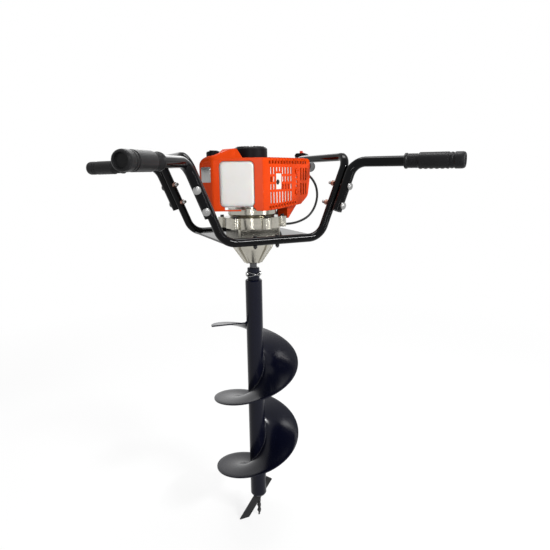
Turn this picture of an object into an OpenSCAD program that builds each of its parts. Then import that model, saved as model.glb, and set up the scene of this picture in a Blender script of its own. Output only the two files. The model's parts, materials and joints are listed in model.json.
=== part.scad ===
// Two-operator earth auger: tube frame, two-stroke engine, reduction gearbox and a screw bit.
// Frame: the pilot tip is the origin, Z runs up the bit, X runs along the front rail, Y to the back.

/* [Auger bit] */
// Diameter over the screw flight, mm
flight_d = 250; // [200:10:300]
// Rise of the flight in one turn, mm
flight_pitch = 224; // [180:2:260]
// Thickness of the flight plate, mm
flight_t = 4; // [3:0.5:6]
// Outside diameter of the bit's centre tube, mm
stem_d = 48; // [44:0.5:54]
// Wall of the centre tube, mm
stem_wall = 3.5; // [2.5:0.5:5]
// Width of the cutting bar, mm
blade_w = 24; // [18:1:30]
// Thickness of the cutting bar, mm
blade_t = 5; // [4:0.5:7]
// Diameter of the gearbox output shaft, mm
shaft_d = 20; // [18:0.5:22]

/* [Frame] */
// Diameter of the cage tube, mm
rail_d = 22; // [20:0.5:25]
// Half the distance between the two rails, mm
rail_y = 146; // [140:1:160]
// Lean of the uprights away from vertical, degrees
lean = 21.8; // [18:0.1:25]
// Diameter of the handle tubes, mm
handle_d = 26; // [24:0.5:28]
// Handle length from its bend to the grip's end, mm
handle_len = 272; // [250:1:300]
// Splay of the handles, degrees from the front rail's direction
splay = 52.3; // [45:0.1:60]
// Droop of the handles below level, degrees
droop = 0.5; // [0:0.5:4]
// Diameter of the grips, mm
grip_d = 40; // [36:1:44]
// Length of the grips, mm
grip_len = 141; // [130:1:150]

/* [Engine] */
// Turn of the engine on the gearbox, degrees
engine_turn = 27.2; // [20:0.1:35]
// Cylinder bore, mm
bore_d = 44; // [40:1:46]
// Piston stroke, mm
stroke = 34; // [30:1:36]
// Wall of the moulded covers, mm
cover_wall = 3; // [2.5:0.5:4]

/* [Gear train] */
// Teeth on the clutch drum's pinion
teeth_a = 9; // [9:1:9]
// Teeth on the wheel it drives
teeth_b = 51; // [51:1:51]
// Teeth on the layshaft pinion
teeth_c = 10; // [10:1:10]
// Teeth on the output gear
teeth_d = 40; // [40:1:40]

/* [Fits] */
// Radial gap of a shaft that turns in a bore, mm
run_fit = 0.05; // [0.03:0.01:0.08]
// Gap between pieces that move past each other, mm
move_gap = 0.5; // [0.4:0.1:1]
// Radial gap of a bolt in its hole, mm
bolt_fit = 0.2; // [0.1:0.05:0.4]

/* [Hidden] */
$fn = 48;
eps = 0.01;
seat = 0.02;
bend_swell = 0.05;

stem_r = stem_d / 2;
stem_in = stem_r - stem_wall;
stem_z0 = 82;
stem_z1 = 758;
nose_z0 = 66;
sleeve_r = 17.25;
sleeve_z0 = stem_z1 - 68;
sleeve_z1 = stem_z1 + 35;
shaft_r = shaft_d / 2;
shaft_z0 = stem_z1 - 28;
pin_z = stem_z1 + 17;
pin_r = 4;
flight_r = flight_d / 2;
flight_ref_a = 164.1;
flight_ref_z = 182;
flight_sway = 12;
flight_sway_a = 15;
flight_a0 = 64;
flight_a1 = 164.1 + 720 + 10;
flight_step = 7.5;
blade_tilt = 36;
blade_mid = 71;
blade_len = 156;
blade_drop = 18;

rail_r = rail_d / 2;
rail_wall = 2;
rail_z = stem_z1 + 129;
corner_x = 132;
cross_rise = 206;
cross_z = rail_z + cross_rise;
low_bend = 48;
top_bend = 36;
seam_x = -20;
spigot_half = 55;
rail_bolt_dx = 30;
handle_r = handle_d / 2;
handle_wall = 2;
handle_bend = 40;
handle_rise = 195;
handle_z = rail_z + handle_rise;
bolt_rise = [86, 135];
bolt_z = [for (r = bolt_rise) rail_z + r];
stub_rise = 71;
bolt_r = 4;
grip_r = grip_d / 2;
grip_end = 10;
plate_t = 5;
plate_x = 129;
plate_hole = 60;

foot = 120;
// Heights of gearbox and engine count from the middle of the rails
foot_z0 = plate_t / 2;
case_z = 36;
lobe_r = 82;
case_r = 78;
case_top = 50;
gear_m1 = 1.25;
gear_m2 = 1.5;
centre_d = gear_m1 * (teeth_a + teeth_b) / 2;
lay_dir = 90;
press_angle = 25;
backlash = 0.3;
lay_x = centre_d * cos(lay_dir);
lay_y = centre_d * sin(lay_dir);

hous_r = 66.5;
hous_z1 = case_top + 25;
crank_z = hous_z1 + 51;
bore_r = bore_d / 2;
throw_r = stroke / 2;
rod_len = 60;
deck_u = 100;
guard_v = -77;
guard_back = -73;
cover_v = 44;
tank_n = [-0.778, -0.628];
tank_face = 79;
dome_r = 45;
cover_rise = 79;
cover_top = crank_z + cover_rise;
tank_top = cover_top - 5;

function unit(a) = a / norm(a);
function left(a) = [-a[1], a[0]];
function inset(p, d) = [
  for (i = [0 : len(p) - 1])
    let (n = len(p), a = p[(i + n - 1) % n], b = p[i], c = p[(i + 1) % n])
    let (e = unit(b - a), f = unit(c - b))
    b + (left(e) + left(f)) * d / (1 + e * f)
];
function spin2(p, a) = [p[0] * cos(a) - p[1] * sin(a), p[0] * sin(a) + p[1] * cos(a)];
function corner(a, b, c, r, n) =
  let (e = unit(b - a), f = unit(c - b))
  let (side = e[0] * f[1] - e[1] * f[0] >= 0 ? 1 : -1)
  let (turn = acos(max(-1, min(1, e * f))), t = r * tan(turn / 2))
  let (s = b - e * t, m = s + left(e) * r * side)
  [for (k = [0 : n]) m + spin2(s - m, side * turn * k / n)];
function rounded(p, r, n = 5) = [
  for (i = [0 : len(p) - 1])
    let (m = len(p))
    each corner(p[(i + m - 1) % m], p[i], p[(i + 1) % m], r, n)
];
function rounded_by(p, r, n = 5) = [
  for (i = [0 : len(p) - 1])
    let (m = len(p))
    each r[i] > 0 ? corner(p[(i + m - 1) % m], p[i], p[(i + 1) % m], r[i], n) : [p[i]]
];
function box2(x0, y0, x1, y1) = [[x0, y0], [x1, y0], [x1, y1], [x0, y1]];

// Involute helpers for the gear teeth
function inv(a) = tan(a) * 180 / PI - a;
function half_tooth(r, z, m) =
  let (rp = z * m / 2, rb = rp * cos(press_angle))
  (90 / z) - (backlash / (2 * rp)) * 90 / PI + inv(press_angle) - inv(acos(min(1, rb / r)));
function polar(r, a) = [r * cos(a), r * sin(a)];
function tooth(z, m, add, a) =
  let (rp = z * m / 2, rb = rp * cos(press_angle), ra = rp + add * m, rr = rp - 1.2 * m)
  let (r1 = max(rb, rr + 0.2), h1 = half_tooth(r1, z, m), h2 = half_tooth(rp, z, m))
  let (h3 = half_tooth((rp + ra) / 2, z, m), h4 = half_tooth(ra, z, m))
  [polar(rr, a - h1), polar(r1, a - h1), polar(rp, a - h2), polar((rp + ra) / 2, a - h3),
   polar(ra, a - h4), polar(ra, a + h4), polar((rp + ra) / 2, a + h3), polar(rp, a + h2),
   polar(r1, a + h1), polar(rr, a + h1)];
function gear_points(z, m, add) = [for (k = [0 : z - 1]) each tooth(z, m, add, 360 * k / z)];

// A point of the frame path, a place on a handle and its directions
lean_dir = [sin(lean), 0, cos(lean)];
lean_out = [cos(lean), 0, -sin(lean)];
bolt_turn = 65.6;
bolt_dir = [cos(bolt_turn) * lean_out[0], sin(bolt_turn), cos(bolt_turn) * lean_out[2]];
handle_dir = [cos(splay) * cos(droop), sin(splay) * cos(droop), -sin(droop)];
function upright(z) = [corner_x + (z - rail_z) * tan(lean), rail_y, z];
function on_handle_tube(z) = upright(z) + (rail_r + handle_r) * bolt_dir;
handle_corner = on_handle_tube(handle_z);

// Turns a child drawn along +Z to run from a towards b
module between(a, b) {
  d = b - a;
  translate(a)
    rotate([0, acos(d[2] / norm(d)), atan2(d[1], d[0])])
      children();
}

// Solid bar between two points
module rod(a, b, r) {
  between(a, b) cylinder(r = r, h = norm(b - a));
}

// Part turn of a bent bar at corner b, coming from a and leaving to c
module elbow(a, b, c, bend, r) {
  e = unit(b - a);
  f = unit(c - b);
  turn = acos(e * f);
  up = unit(f - e * (e * f));
  m = b - e * bend * tan(turn / 2) + up * bend;
  x = -up;
  n = cross(x, e);
  multmatrix([
    [x[0], e[0], n[0], m[0]],
    [x[1], e[1], n[1], m[1]],
    [x[2], e[2], n[2], m[2]],
    [0, 0, 0, 1]])
    rotate_extrude(angle = turn)
      translate([bend, 0]) circle(r + bend_swell);
}

function trim(a, b, c, bend) =
  let (e = unit(b - a), f = unit(c - b))
  bend * tan(acos(e * f) / 2) - 1;

// Bent bar through the points p with bend radii b, both ends longer by more
module bent_bar(p, b, r, more = 0) {
  last = len(p) - 1;
  for (i = [0 : last - 1]) {
    d = unit(p[i + 1] - p[i]);
    t0 = i == 0 ? -more : trim(p[i - 1], p[i], p[i + 1], b[i]);
    t1 = i == last - 1 ? -more : trim(p[i], p[i + 1], p[i + 2], b[i + 1]);
    rod(p[i] + d * t0, p[i + 1] - d * t1, r);
  }
  for (i = [1 : last - 1])
    elbow(p[i - 1], p[i], p[i + 1], b[i], r);
}

// Bent tube through the points p
module bent_tube(p, b, r, wall) {
  difference() {
    bent_bar(p, b, r);
    bent_bar(p, b, r - wall, 1);
  }
}

function flip(p, sx, sy) = [p[0] * sx, p[1] * sy, p[2]];
top_x = corner_x + (cross_z - rail_z) * tan(lean);
function loop_points(sx, x0, x1) = [
  [x0, -rail_y, rail_z],
  [sx * corner_x, -rail_y, rail_z],
  [sx * top_x, -rail_y, cross_z],
  [sx * top_x, rail_y, cross_z],
  [sx * corner_x, rail_y, rail_z],
  [x1, rail_y, rail_z]
];
loop_bends = [0, low_bend, top_bend, top_bend, low_bend, 0];
corners = [[-1, -1], [1, -1], [-1, 1], [1, 1]];

// Bolt holes of the handle clamps, drilled through tube and upright
module handle_drill(sx, sy) {
  for (z = bolt_z) {
    a = upright(z) - bolt_dir * 30;
    b = upright(z) + bolt_dir * 60;
    rod(flip(a, sx, sy), flip(b, sx, sy), bolt_r + bolt_fit);
  }
}

module rail_drill() {
  for (s = [-1, 1])
    for (x = [seam_x - rail_bolt_dx, seam_x + rail_bolt_dx])
      translate([-s * x, s * rail_y, rail_z - 20])
        cylinder(r = 3 + bolt_fit, h = 40);
}

module frame_half(sx) {
  difference() {
    bent_tube(loop_points(sx, seam_x, -seam_x), loop_bends, rail_r, rail_wall);
    handle_drill(sx, -1);
    handle_drill(sx, 1);
    rail_drill();
  }
}

// Frame
module left_frame_tube() {
  color([0.06, 0.06, 0.07]) frame_half(-1);
}

module right_frame_tube() {
  color([0.06, 0.06, 0.07]) frame_half(1);
}

module rail_spigots() {
  color([0.5, 0.5, 0.52])
    difference() {
      for (s = [-1, 1])
        translate([-s * seam_x, s * rail_y, rail_z])
          rotate([0, 90, 0])
            cylinder(r = rail_r - rail_wall - seat, h = 2 * spigot_half, center = true);
      rail_drill();
    }
}

module base_plate() {
  color([0.07, 0.07, 0.08])
    difference() {
      translate([0, 0, rail_z - plate_t / 2])
        linear_extrude(plate_t)
          difference() {
            polygon(rounded(box2(-plate_x, -rail_y + 4, plate_x, rail_y - 4), 10));
            circle(plate_hole);
            for (x = [-50, 50]) for (y = [-50, 50])
              translate([x, y]) circle(4 + bolt_fit);
          }
      for (sx = [-1, 1])
        bent_bar(loop_points(sx, 0, 0), loop_bends, rail_r + seat);
    }
}

module base_bolts() {
  color([0.12, 0.12, 0.13]) {
    for (x = [-50, 50]) for (y = [-50, 50])
      translate([x, y, rail_z - plate_t / 2]) {
        cylinder(r = 4, h = 18);
        translate([0, 0, -5.5]) cylinder(r = 7.5, h = 5.5, $fn = 6);
      }
    for (s = [-1, 1])
      for (x = [seam_x - rail_bolt_dx, seam_x + rail_bolt_dx])
        translate([-s * x, s * rail_y, rail_z]) {
          translate([0, 0, -rail_r - 8]) cylinder(r = 3, h = 2 * rail_r + 9);
          translate([0, 0, rail_r]) cylinder(r = 5, h = 3);
          translate([0, 0, -rail_r - 5]) cylinder(r = 5.5, h = 5, $fn = 6);
        }
  }
}

// Handles and grips
module handle_tube(sx, sy) {
  p0 = on_handle_tube(rail_z + stub_rise);
  p2 = handle_corner + handle_dir * (handle_len - grip_end);
  difference() {
    bent_tube([flip(p0, sx, sy), flip(handle_corner, sx, sy), flip(p2, sx, sy)],
      [0, handle_bend, 0], handle_r, handle_wall);
    handle_drill(sx, sy);
  }
}

// Puts a child drawn along +Z from the handle's bend onto a handle, its X side facing down
module along_handle(sx, sy) {
  h = flip(handle_dir, sx, sy);
  m = flip(handle_corner, sx, sy);
  d = unit([0, 0, -1] - h * (h * [0, 0, -1]));
  n = cross(h, d);
  multmatrix([
    [d[0], n[0], h[0], m[0]],
    [d[1], n[1], h[1], m[1]],
    [d[2], n[2], h[2], m[2]],
    [0, 0, 0, 1]])
    children();
}

module grip(sx, sy) {
  g0 = handle_len - grip_len;
  g1 = handle_len - grip_end;
  along_handle(sx, sy)
    difference() {
      rotate_extrude()
        polygon([
          [0, g0], [grip_r - 3, g0], [grip_r - 1, g0 + 1.5], [grip_r - 1, g0 + 6], [grip_r - 3, g0 + 8],
          [grip_r - 3, g0 + 32], [grip_r, g0 + 37], [grip_r, g1 - 27], [grip_r - 1.8, g1 - 26],
          [grip_r - 1.8, g1 - 23], [grip_r - 0.7, g1 - 22], [grip_r - 0.7, g1 - 18], [grip_r - 1.8, g1 - 17],
          [grip_r - 1.8, g1 - 14], [grip_r - 0.2, g1 - 12], [grip_r - 0.2, g1 + 3], [grip_r - 1.2, g1 + 7.5],
          [grip_r - 4, g1 + 10], [grip_r - 6, g1 + 10], [grip_r - 7.5, g1 + 4], [0, g1 + 4]]);
      translate([0, 0, g0 - 1])
        cylinder(r = handle_r + seat, h = g1 - g0 + 1 + seat);
      for (k = [0 : 4])
        translate([grip_r + 5.2, 0, g0 + 44.5 + 13 * k])
          rotate([90, 0, 0]) cylinder(r = 7, h = 60, center = true);
    }
}

module front_left_handle() {
  color([0.06, 0.06, 0.07]) handle_tube(-1, -1);
}

module front_right_handle() {
  color([0.06, 0.06, 0.07]) handle_tube(1, -1);
}

module rear_left_handle() {
  color([0.06, 0.06, 0.07]) handle_tube(-1, 1);
}

module rear_right_handle() {
  color([0.06, 0.06, 0.07]) handle_tube(1, 1);
}

module front_left_grip() {
  color([0.1, 0.1, 0.1]) grip(-1, -1);
}

module front_right_grip() {
  color([0.1, 0.1, 0.1]) grip(1, -1);
}

module rear_left_grip() {
  color([0.1, 0.1, 0.1]) grip(-1, 1);
}

module rear_right_grip() {
  color([0.1, 0.1, 0.1]) grip(1, 1);
}

module handle_bolts() {
  color([0.75, 0.75, 0.72])
    for (c = corners) for (z = bolt_z) {
      a = flip(upright(z) - bolt_dir * (rail_r + 17), c[0], c[1]);
      b = flip(upright(z) + bolt_dir * (rail_r + 2 * handle_r), c[0], c[1]);
      rod(a, b + unit(b - a), bolt_r);
      between(b, b + unit(b - a))
        rotate_extrude()
          polygon([[0, 0], [9.5, 0], [9.5, 2.6], [8.4, 4.4], [5, 5.6], [0, 6]]);
    }
}

module handle_nuts() {
  color([0.72, 0.55, 0.35])
    for (c = corners) for (z = bolt_z) {
      p = flip(upright(z) - bolt_dir * (rail_r + 8), c[0], c[1]);
      q = flip(upright(z) - bolt_dir * rail_r, c[0], c[1]);
      between(p, q)
        difference() {
          cylinder(r = 7.5, h = 8, $fn = 6);
          translate([0, 0, -1]) cylinder(r = bolt_r + seat, h = 10);
        }
    }
}

// Bit
module blade_bar() {
  translate([0, 0, blade_mid])
    rotate([0, blade_tilt, 0])
      translate([0, 0, -blade_drop]) cube([blade_w, blade_t, blade_len], center = true);
}

module auger_tube() {
  color([0.08, 0.08, 0.1])
    difference() {
      union() {
        rotate_extrude()
          polygon([[stem_in, stem_z0], [stem_r, stem_z0], [stem_r, stem_z1 - 3], [stem_r - 2, stem_z1],
            [stem_in, stem_z1]]);
        rotate_extrude()
          polygon([[0, nose_z0], [9, nose_z0], [stem_r - 3, stem_z0 - 5], [stem_r, stem_z0],
            [stem_r, stem_z0 + eps], [stem_in, stem_z0 + 8], [0, stem_z0 + 8]]);
      }
      blade_bar();
    }
}

function helix_ring(a) =
  let (sway = flight_sway * sin(a + flight_sway_a))
  let (z = flight_ref_z + flight_pitch * (a - flight_ref_a) / 360 + sway)
  let (ri = stem_r / cos(flight_step / 2) + eps, dr = flight_r - ri)
  let (f = [0, 0.14, 0.36, 0.66, 1])
  [for (k = [0 : 4]) [(ri + dr * f[k]) * cos(a), (ri + dr * f[k]) * sin(a), z],
   for (k = [4 : -1 : 0]) [(ri + dr * f[k]) * cos(a), (ri + dr * f[k]) * sin(a), z - flight_t]];

// Closed skin over rings of equal length; flat rings as thin as a plate get their ends in quads
module skin(rings, plate = false) {
  n = len(rings[0]);
  m = len(rings);
  pts = [for (r = rings) each r];
  sides = [for (i = [0 : m - 2]) for (k = [0 : n - 1])
    each [[i * n + k, i * n + (k + 1) % n, (i + 1) * n + k],
      [i * n + (k + 1) % n, (i + 1) * n + (k + 1) % n, (i + 1) * n + k]]];
  last = (m - 1) * n;
  first = plate ? [for (k = [0 : n / 2 - 2]) [n - 1 - k, n - 2 - k, k + 1, k]]
    : [[for (k = [n - 1 : -1 : 0]) k]];
  end = plate ? [for (k = [0 : n / 2 - 2]) [last + k, last + k + 1, last + n - 2 - k, last + n - 1 - k]]
    : [[for (k = [0 : n - 1]) last + k]];
  polyhedron(points = pts, faces = concat(sides, first, end), convexity = 12);
}

module auger_flight() {
  n = ceil((flight_a1 - flight_a0) / flight_step);
  color([0.08, 0.08, 0.1])
    skin([for (i = [0 : n]) helix_ring(flight_a0 + (flight_a1 - flight_a0) * i / n)], true);
}

module cutting_blade() {
  color([0.2, 0.2, 0.22])
    intersection() {
      blade_bar();
      translate([-200, -200, 3]) cube([400, 400, 400]);
    }
}

function pilot_ring(z) =
  let (k = 0.45 + 0.55 * min(1, z / 14), a = 10 * z)
  [for (p = [[6, -1.6], [6, 1.6], [0, 3.4], [-6, 1.6], [-6, -1.6], [0, -3.4]])
    let (q = spin2(p * k, a)) [q[0], q[1], z]];

module pilot_point() {
  color([0.15, 0.15, 0.16])
    difference() {
      skin([for (i = [0 : 24]) pilot_ring(nose_z0 * i / 24)]);
      translate([0, 0, blade_mid])
        rotate([0, blade_tilt, 0])
          translate([blade_w / 2 + seat - 200, -50, -100]) cube([200, 100, 200]);
    }
}

module coupling_sleeve() {
  color([0.08, 0.08, 0.1])
    difference() {
      rotate_extrude()
        polygon([[shaft_r + seat, sleeve_z0], [stem_in, sleeve_z0], [stem_in, sleeve_z0 + 6],
          [sleeve_r, sleeve_z0 + 6], [sleeve_r, stem_z1 - 8], [stem_in, stem_z1 - 8],
          [stem_in, stem_z1 - 1], [sleeve_r, stem_z1 - 1], [sleeve_r, sleeve_z1 - 2],
          [sleeve_r - 2, sleeve_z1], [shaft_r + seat, sleeve_z1]]);
      translate([-40, 0, pin_z]) rotate([0, 90, 0]) cylinder(r = pin_r + seat, h = 80);
    }
}

module drive_pin() {
  color([0.7, 0.7, 0.7])
    for (s = [0, 180])
      rotate([0, 0, s])
        translate([0, 0, pin_z])
          rotate([0, 90, 0]) {
            translate([0, 0, -eps]) cylinder(r = pin_r, h = sleeve_r + eps);
            translate([0, 0, sleeve_r + seat]) cylinder(r = 5.75, h = 4.6);
            cylinder(r = pin_r, h = sleeve_r + 2);
          }
}

module pin_clip() {
  color([0.8, 0.8, 0.8])
    translate([0, 0, pin_z])
      for (t = [-20, 20])
        rotate([0, t, 0])
          rotate_extrude()
            translate([19.8, 0]) circle(1);
}

// Gearbox pieces stand on the rails, engine pieces are drawn with the cylinder along +X
module machine() {
  translate([0, 0, rail_z]) children();
}

module engine() {
  machine() rotate([0, 0, engine_turn]) children();
}

// Output shaft and gears
module output_shaft() {
  color([0.35, 0.35, 0.36])
    difference() {
      rotate_extrude()
        polygon([[0, shaft_z0], [shaft_r - 1, shaft_z0], [shaft_r, shaft_z0 + 1], [shaft_r, rail_z + 24],
          [0, rail_z + 24]]);
      translate([-40, 0, pin_z]) rotate([0, 90, 0]) cylinder(r = pin_r + seat, h = 80);
    }
}

module output_gear() {
  color([0.5, 0.5, 0.5]) machine()
    translate([0, 0, 9])
      difference() {
        rotate([0, 0, lay_dir + 180 / teeth_d])
          linear_extrude(13)
            polygon(gear_points(teeth_d, gear_m2, 0.85));
        translate([0, 0, -1]) cylinder(r = shaft_r + seat, h = 20);
      }
}

module layshaft() {
  color([0.4, 0.4, 0.42]) machine()
    translate([lay_x, lay_y, 0]) {
      translate([0, 0, -3]) cylinder(r = 4, h = 49.5);
      translate([0, 0, 6.5]) cylinder(r = 5, h = 32);
      translate([0, 0, 7.5])
        rotate([0, 0, lay_dir + 180])
          linear_extrude(17)
            polygon(gear_points(teeth_c, gear_m2, 0.95));
    }
}

module layshaft_gear() {
  color([0.5, 0.5, 0.5]) machine()
    translate([lay_x, lay_y, 26])
      difference() {
        rotate([0, 0, lay_dir + 180 + 180 / teeth_b])
          linear_extrude(9)
            difference() {
              polygon(gear_points(teeth_b, gear_m1, 0.85));
              for (k = [0 : 4]) rotate([0, 0, 72 * k + 20]) translate([17, 0]) circle(6);
            }
        translate([0, 0, -1]) cylinder(r = 5 + seat, h = 20);
      }
}

module clutch_drum() {
  color([0.45, 0.45, 0.46]) machine() {
    rotate_extrude()
      polygon([[0, 38], [7.5, 38], [7.5, 55.5], [41, 55.5], [41, 71.8], [39, 71.8], [39, 58.5], [0, 58.5]]);
    translate([0, 0, 26])
      rotate([0, 0, lay_dir])
        linear_extrude(12.5)
          polygon(gear_points(teeth_a, gear_m1, 0.95));
  }
}

// Gear case
module ring_of_lobes(grow = 0) {
  circle(case_r + grow);
  for (k = [0 : 5])
    rotate([0, 0, lobe_turn + 60 * k]) translate([lobe_r, 0]) circle(12 + grow);
}
lobe_turn = -84;

module gear_case_lower() {
  color([0.72, 0.71, 0.68]) machine()
    difference() {
      union() {
        rotate_extrude()
          polygon([[0, -80], [20, -80], [24, -77], [50, -37], [58.5, -19], [58.5, foot_z0 + 2],
            [0, foot_z0 + 2]]);
        for (k = [0 : 7])
          rotate([90, 0, 45 * k + 22.5])
            translate([0, 0, -3])
              linear_extrude(6)
                polygon([[14, -79.5], [25, -79.5], [55, -37], [59, -25], [59, -7], [14, -7]]);
        translate([0, 0, foot_z0])
          linear_extrude(21 - foot_z0)
            polygon(rounded(box2(-foot / 2, -foot / 2, foot / 2, foot / 2), 9));
        translate([0, 0, 21])
          linear_extrude(case_z - 21)
            ring_of_lobes();
      }
      translate([0, 0, 25]) cylinder(r = 72, h = 20);
      translate([0, 0, 6]) cylinder(r = 33.5, h = 20);
      translate([lay_x, lay_y, 6]) cylinder(r = 13, h = 20);
      translate([lay_x, lay_y, -2]) cylinder(r = 11 + seat, h = 20);
      translate([lay_x, lay_y, -5]) cylinder(r = 7, h = 20);
      translate([0, 0, -8]) cylinder(r = 23.5 + seat, h = 30);
      translate([0, 0, -65]) cylinder(r = 15, h = 80);
      translate([0, 0, -65]) cylinder(r = 21 + seat, h = 30);
      translate([0, 0, -35 - eps]) cylinder(r1 = 21, r2 = 15, h = 6);
      translate([0, 0, -87]) cylinder(r = 12, h = 40);
      translate([0, 0, -76]) cylinder(r = 17.5 + seat, h = 8);
      for (k = [0 : 5])
        rotate([0, 0, lobe_turn + 60 * k]) translate([lobe_r + 1, 0, 24]) cylinder(r = 3 + seat, h = 20);
      for (x = [-50, 50]) for (y = [-50, 50])
        translate([x, y, -7]) cylinder(r = 4 + seat, h = 23);
    }
}

module gear_case_upper() {
  color([0.74, 0.73, 0.7]) machine()
    difference() {
      translate([0, 0, case_z])
        linear_extrude(case_top - case_z)
          ring_of_lobes();
      translate([0, 0, case_z - 1]) cylinder(r = 72, h = 3);
      translate([lay_x, lay_y, 33]) cylinder(r = 11 + seat, h = 14);
      translate([0, 0, 33]) cylinder(r = 12, h = 30);
      translate([0, 0, 40]) cylinder(r = 16 + seat, h = 20);
      for (k = [0 : 5])
        rotate([0, 0, lobe_turn + 60 * k]) translate([lobe_r + 1, 0, 24]) cylinder(r = 3 + bolt_fit, h = 40);
    }
}

module gear_case_screws() {
  color([0.15, 0.15, 0.16]) machine()
    for (k = [0 : 5])
      rotate([0, 0, lobe_turn + 60 * k])
        translate([lobe_r + 1, 0, 0]) {
          translate([0, 0, 25]) cylinder(r = 3, h = 26);
          translate([0, 0, case_top]) cylinder(r = 5, h = 5.5);
        }
}

module ring(r0, r1, z0, h) {
  translate([0, 0, z0])
    linear_extrude(h)
      difference() {
        circle(r1);
        circle(r0);
      }
}

module bearings() {
  color([0.8, 0.8, 0.82]) machine() {
    ring(shaft_r + run_fit, 21, -65, 12);
    ring(shaft_r + run_fit, 23.5, -8, 14);
    translate([lay_x, lay_y, 0]) ring(4 + run_fit, 11, -2, 7);
    translate([lay_x, lay_y, 0]) ring(4 + run_fit, 11, 40, 7);
    ring(7.5 + run_fit, 16, 40, 9);
    ring(7.5 + run_fit, 17.5, 81, 11);
    ring(7.5 + run_fit, 17.5, 149, 11);
  }
}

module oil_seal() {
  color([0.15, 0.12, 0.1]) machine()
    ring(shaft_r + run_fit, 17.5, -76, 8);
}

module clutch_housing() {
  color([0.72, 0.71, 0.68]) machine()
    rotate_extrude()
      polygon([[22, case_top], [60, case_top], [hous_r, case_top + 8], [hous_r, hous_z1], [40, hous_z1],
        [40, hous_z1 - 2], [56, hous_z1 - 4], [56, case_top + 4], [22, case_top + 4]]);
}

// Engine
leg_turns = [90, 200, 265];

module crankcase() {
  color([0.68, 0.68, 0.68])
    engine()
      difference() {
        union() {
          translate([0, 0, hous_z1]) cylinder(r = 46, h = 86);
          for (a = leg_turns)
            rotate([0, 0, a]) translate([40, -6, 156]) cube([19.5, 12, 5]);
          translate([0, -30, crank_z - 30]) cube([46, 60, 60]);
        }
        translate([0, 0, 96]) cylinder(r = 34, h = 50);
        translate([0, 0, 81]) cylinder(r = 17.5 + seat, h = 79);
        translate([0, 0, 63]) cylinder(r = 10, h = 120);
        translate([0, 0, crank_z]) rotate([0, 90, 0]) cylinder(r = bore_r + 0.5, h = 60);
      }
}

module crankshaft() {
  color([0.55, 0.55, 0.56]) machine() {
    rotate_extrude()
      polygon([[0, 60], [5, 60], [5, 74], [7.5, 74], [7.5, 112], [32, 112], [32, crank_z - 6.2],
        [0, crank_z - 6.2]]);
    rotate_extrude()
      polygon([[0, crank_z + 6.2], [32, crank_z + 6.2], [32, 140], [7.5, 140], [7.5, 177], [5, 179], [5, 185],
        [0, 185]]);
  }
}

module connecting_rod() {
  color([0.6, 0.6, 0.62])
    engine()
      translate([0, 0, crank_z - 5.7])
        linear_extrude(11.4)
          difference() {
            union() {
              translate([throw_r, 0]) circle(13);
              translate([throw_r + rod_len, 0]) circle(9);
              translate([throw_r, -5]) square([rod_len, 10]);
            }
            translate([throw_r, 0]) circle(8 + seat);
            translate([throw_r + rod_len, 0]) circle(5.5 + seat);
          }
}

module rod_pins() {
  color([0.75, 0.75, 0.76])
    engine() {
      translate([throw_r, 0, crank_z - 5.7]) cylinder(r = 8, h = 11.4);
      translate([throw_r + rod_len, 0, crank_z - 19]) cylinder(r = 5.5, h = 38);
    }
}

module piston() {
  color([0.78, 0.78, 0.8])
    engine()
      translate([throw_r + rod_len, 0, crank_z])
        rotate([0, 90, 0])
          difference() {
            rotate_extrude()
              polygon([[0, 16], [18, 16], [18, -10], [bore_r - run_fit, -10], [bore_r - run_fit, 13],
                [bore_r - 1.5, 13], [bore_r - 1.5, 14.5], [bore_r - run_fit, 14.5], [bore_r - run_fit, 16.5],
                [bore_r - 1.5, 16.5], [bore_r - 1.5, 18], [bore_r - run_fit, 18], [bore_r - run_fit, 20],
                [0, 20]]);
            translate([-30, 0, 0]) rotate([0, 90, 0]) cylinder(r = 5.5 + seat, h = 60);
          }
}

module cylinder_block() {
  color([0.7, 0.7, 0.7])
    engine()
      translate([0, 0, crank_z])
        difference() {
          union() {
            translate([46, 0, 0]) rotate([0, 90, 0]) cylinder(r = 28, h = 64);
            translate([46, -30, -30]) cube([5, 60, 60]);
            for (k = [0 : 7])
              translate([57 + 6.6 * k, -38, -38]) cube([2.2, 76, 76]);
            translate([72, -47, 0]) rotate([-90, 0, 0]) cylinder(r = 13, h = 30);
            translate([68, 18, 0]) rotate([-90, 0, 0]) cylinder(r = 12, h = 29);
            translate([104, 0, 0]) rotate([0, 90, 0]) cylinder(r = 13, h = 8);
          }
          translate([40, 0, 0]) rotate([0, 90, 0]) cylinder(r = bore_r, h = deck_u - 40);
          translate([90, 0, 0]) rotate([0, 90, 0]) cylinder(r = 6.5 + seat, h = 40);
          translate([72, -50, 0]) rotate([-90, 0, 0]) cylinder(r = 8, h = 45);
          translate([68, 5, 0]) rotate([-90, 0, 0]) cylinder(r = 8, h = 45);
        }
}

module spark_plug() {
  color([0.85, 0.85, 0.83])
    engine()
      translate([0, 0, crank_z])
        rotate([0, 90, 0]) {
          translate([0, 0, 101]) cylinder(r = 6.5, h = 12);
          translate([0, 0, 112]) cylinder(r = 10, h = 3);
          translate([0, 0, 115]) cylinder(r = 9.5, h = 8, $fn = 6);
          translate([0, 0, 123]) cylinder(r = 5.5, h = 18);
          translate([0, 0, 141]) cylinder(r = 3, h = 8);
        }
}

module plug_boot() {
  color([0.1, 0.1, 0.1])
    engine()
      translate([0, 0, crank_z])
        difference() {
          union() {
            translate([127, 0, 0]) rotate([0, 90, 0]) cylinder(r = 9, h = 30);
            translate([148, 0, 0]) cylinder(r = 7, h = 30);
          }
          translate([120, 0, 0]) rotate([0, 90, 0]) cylinder(r = 5.5 + seat, h = 21);
          translate([120, 0, 0]) rotate([0, 90, 0]) cylinder(r = 3 + seat, h = 30);
        }
}

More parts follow.
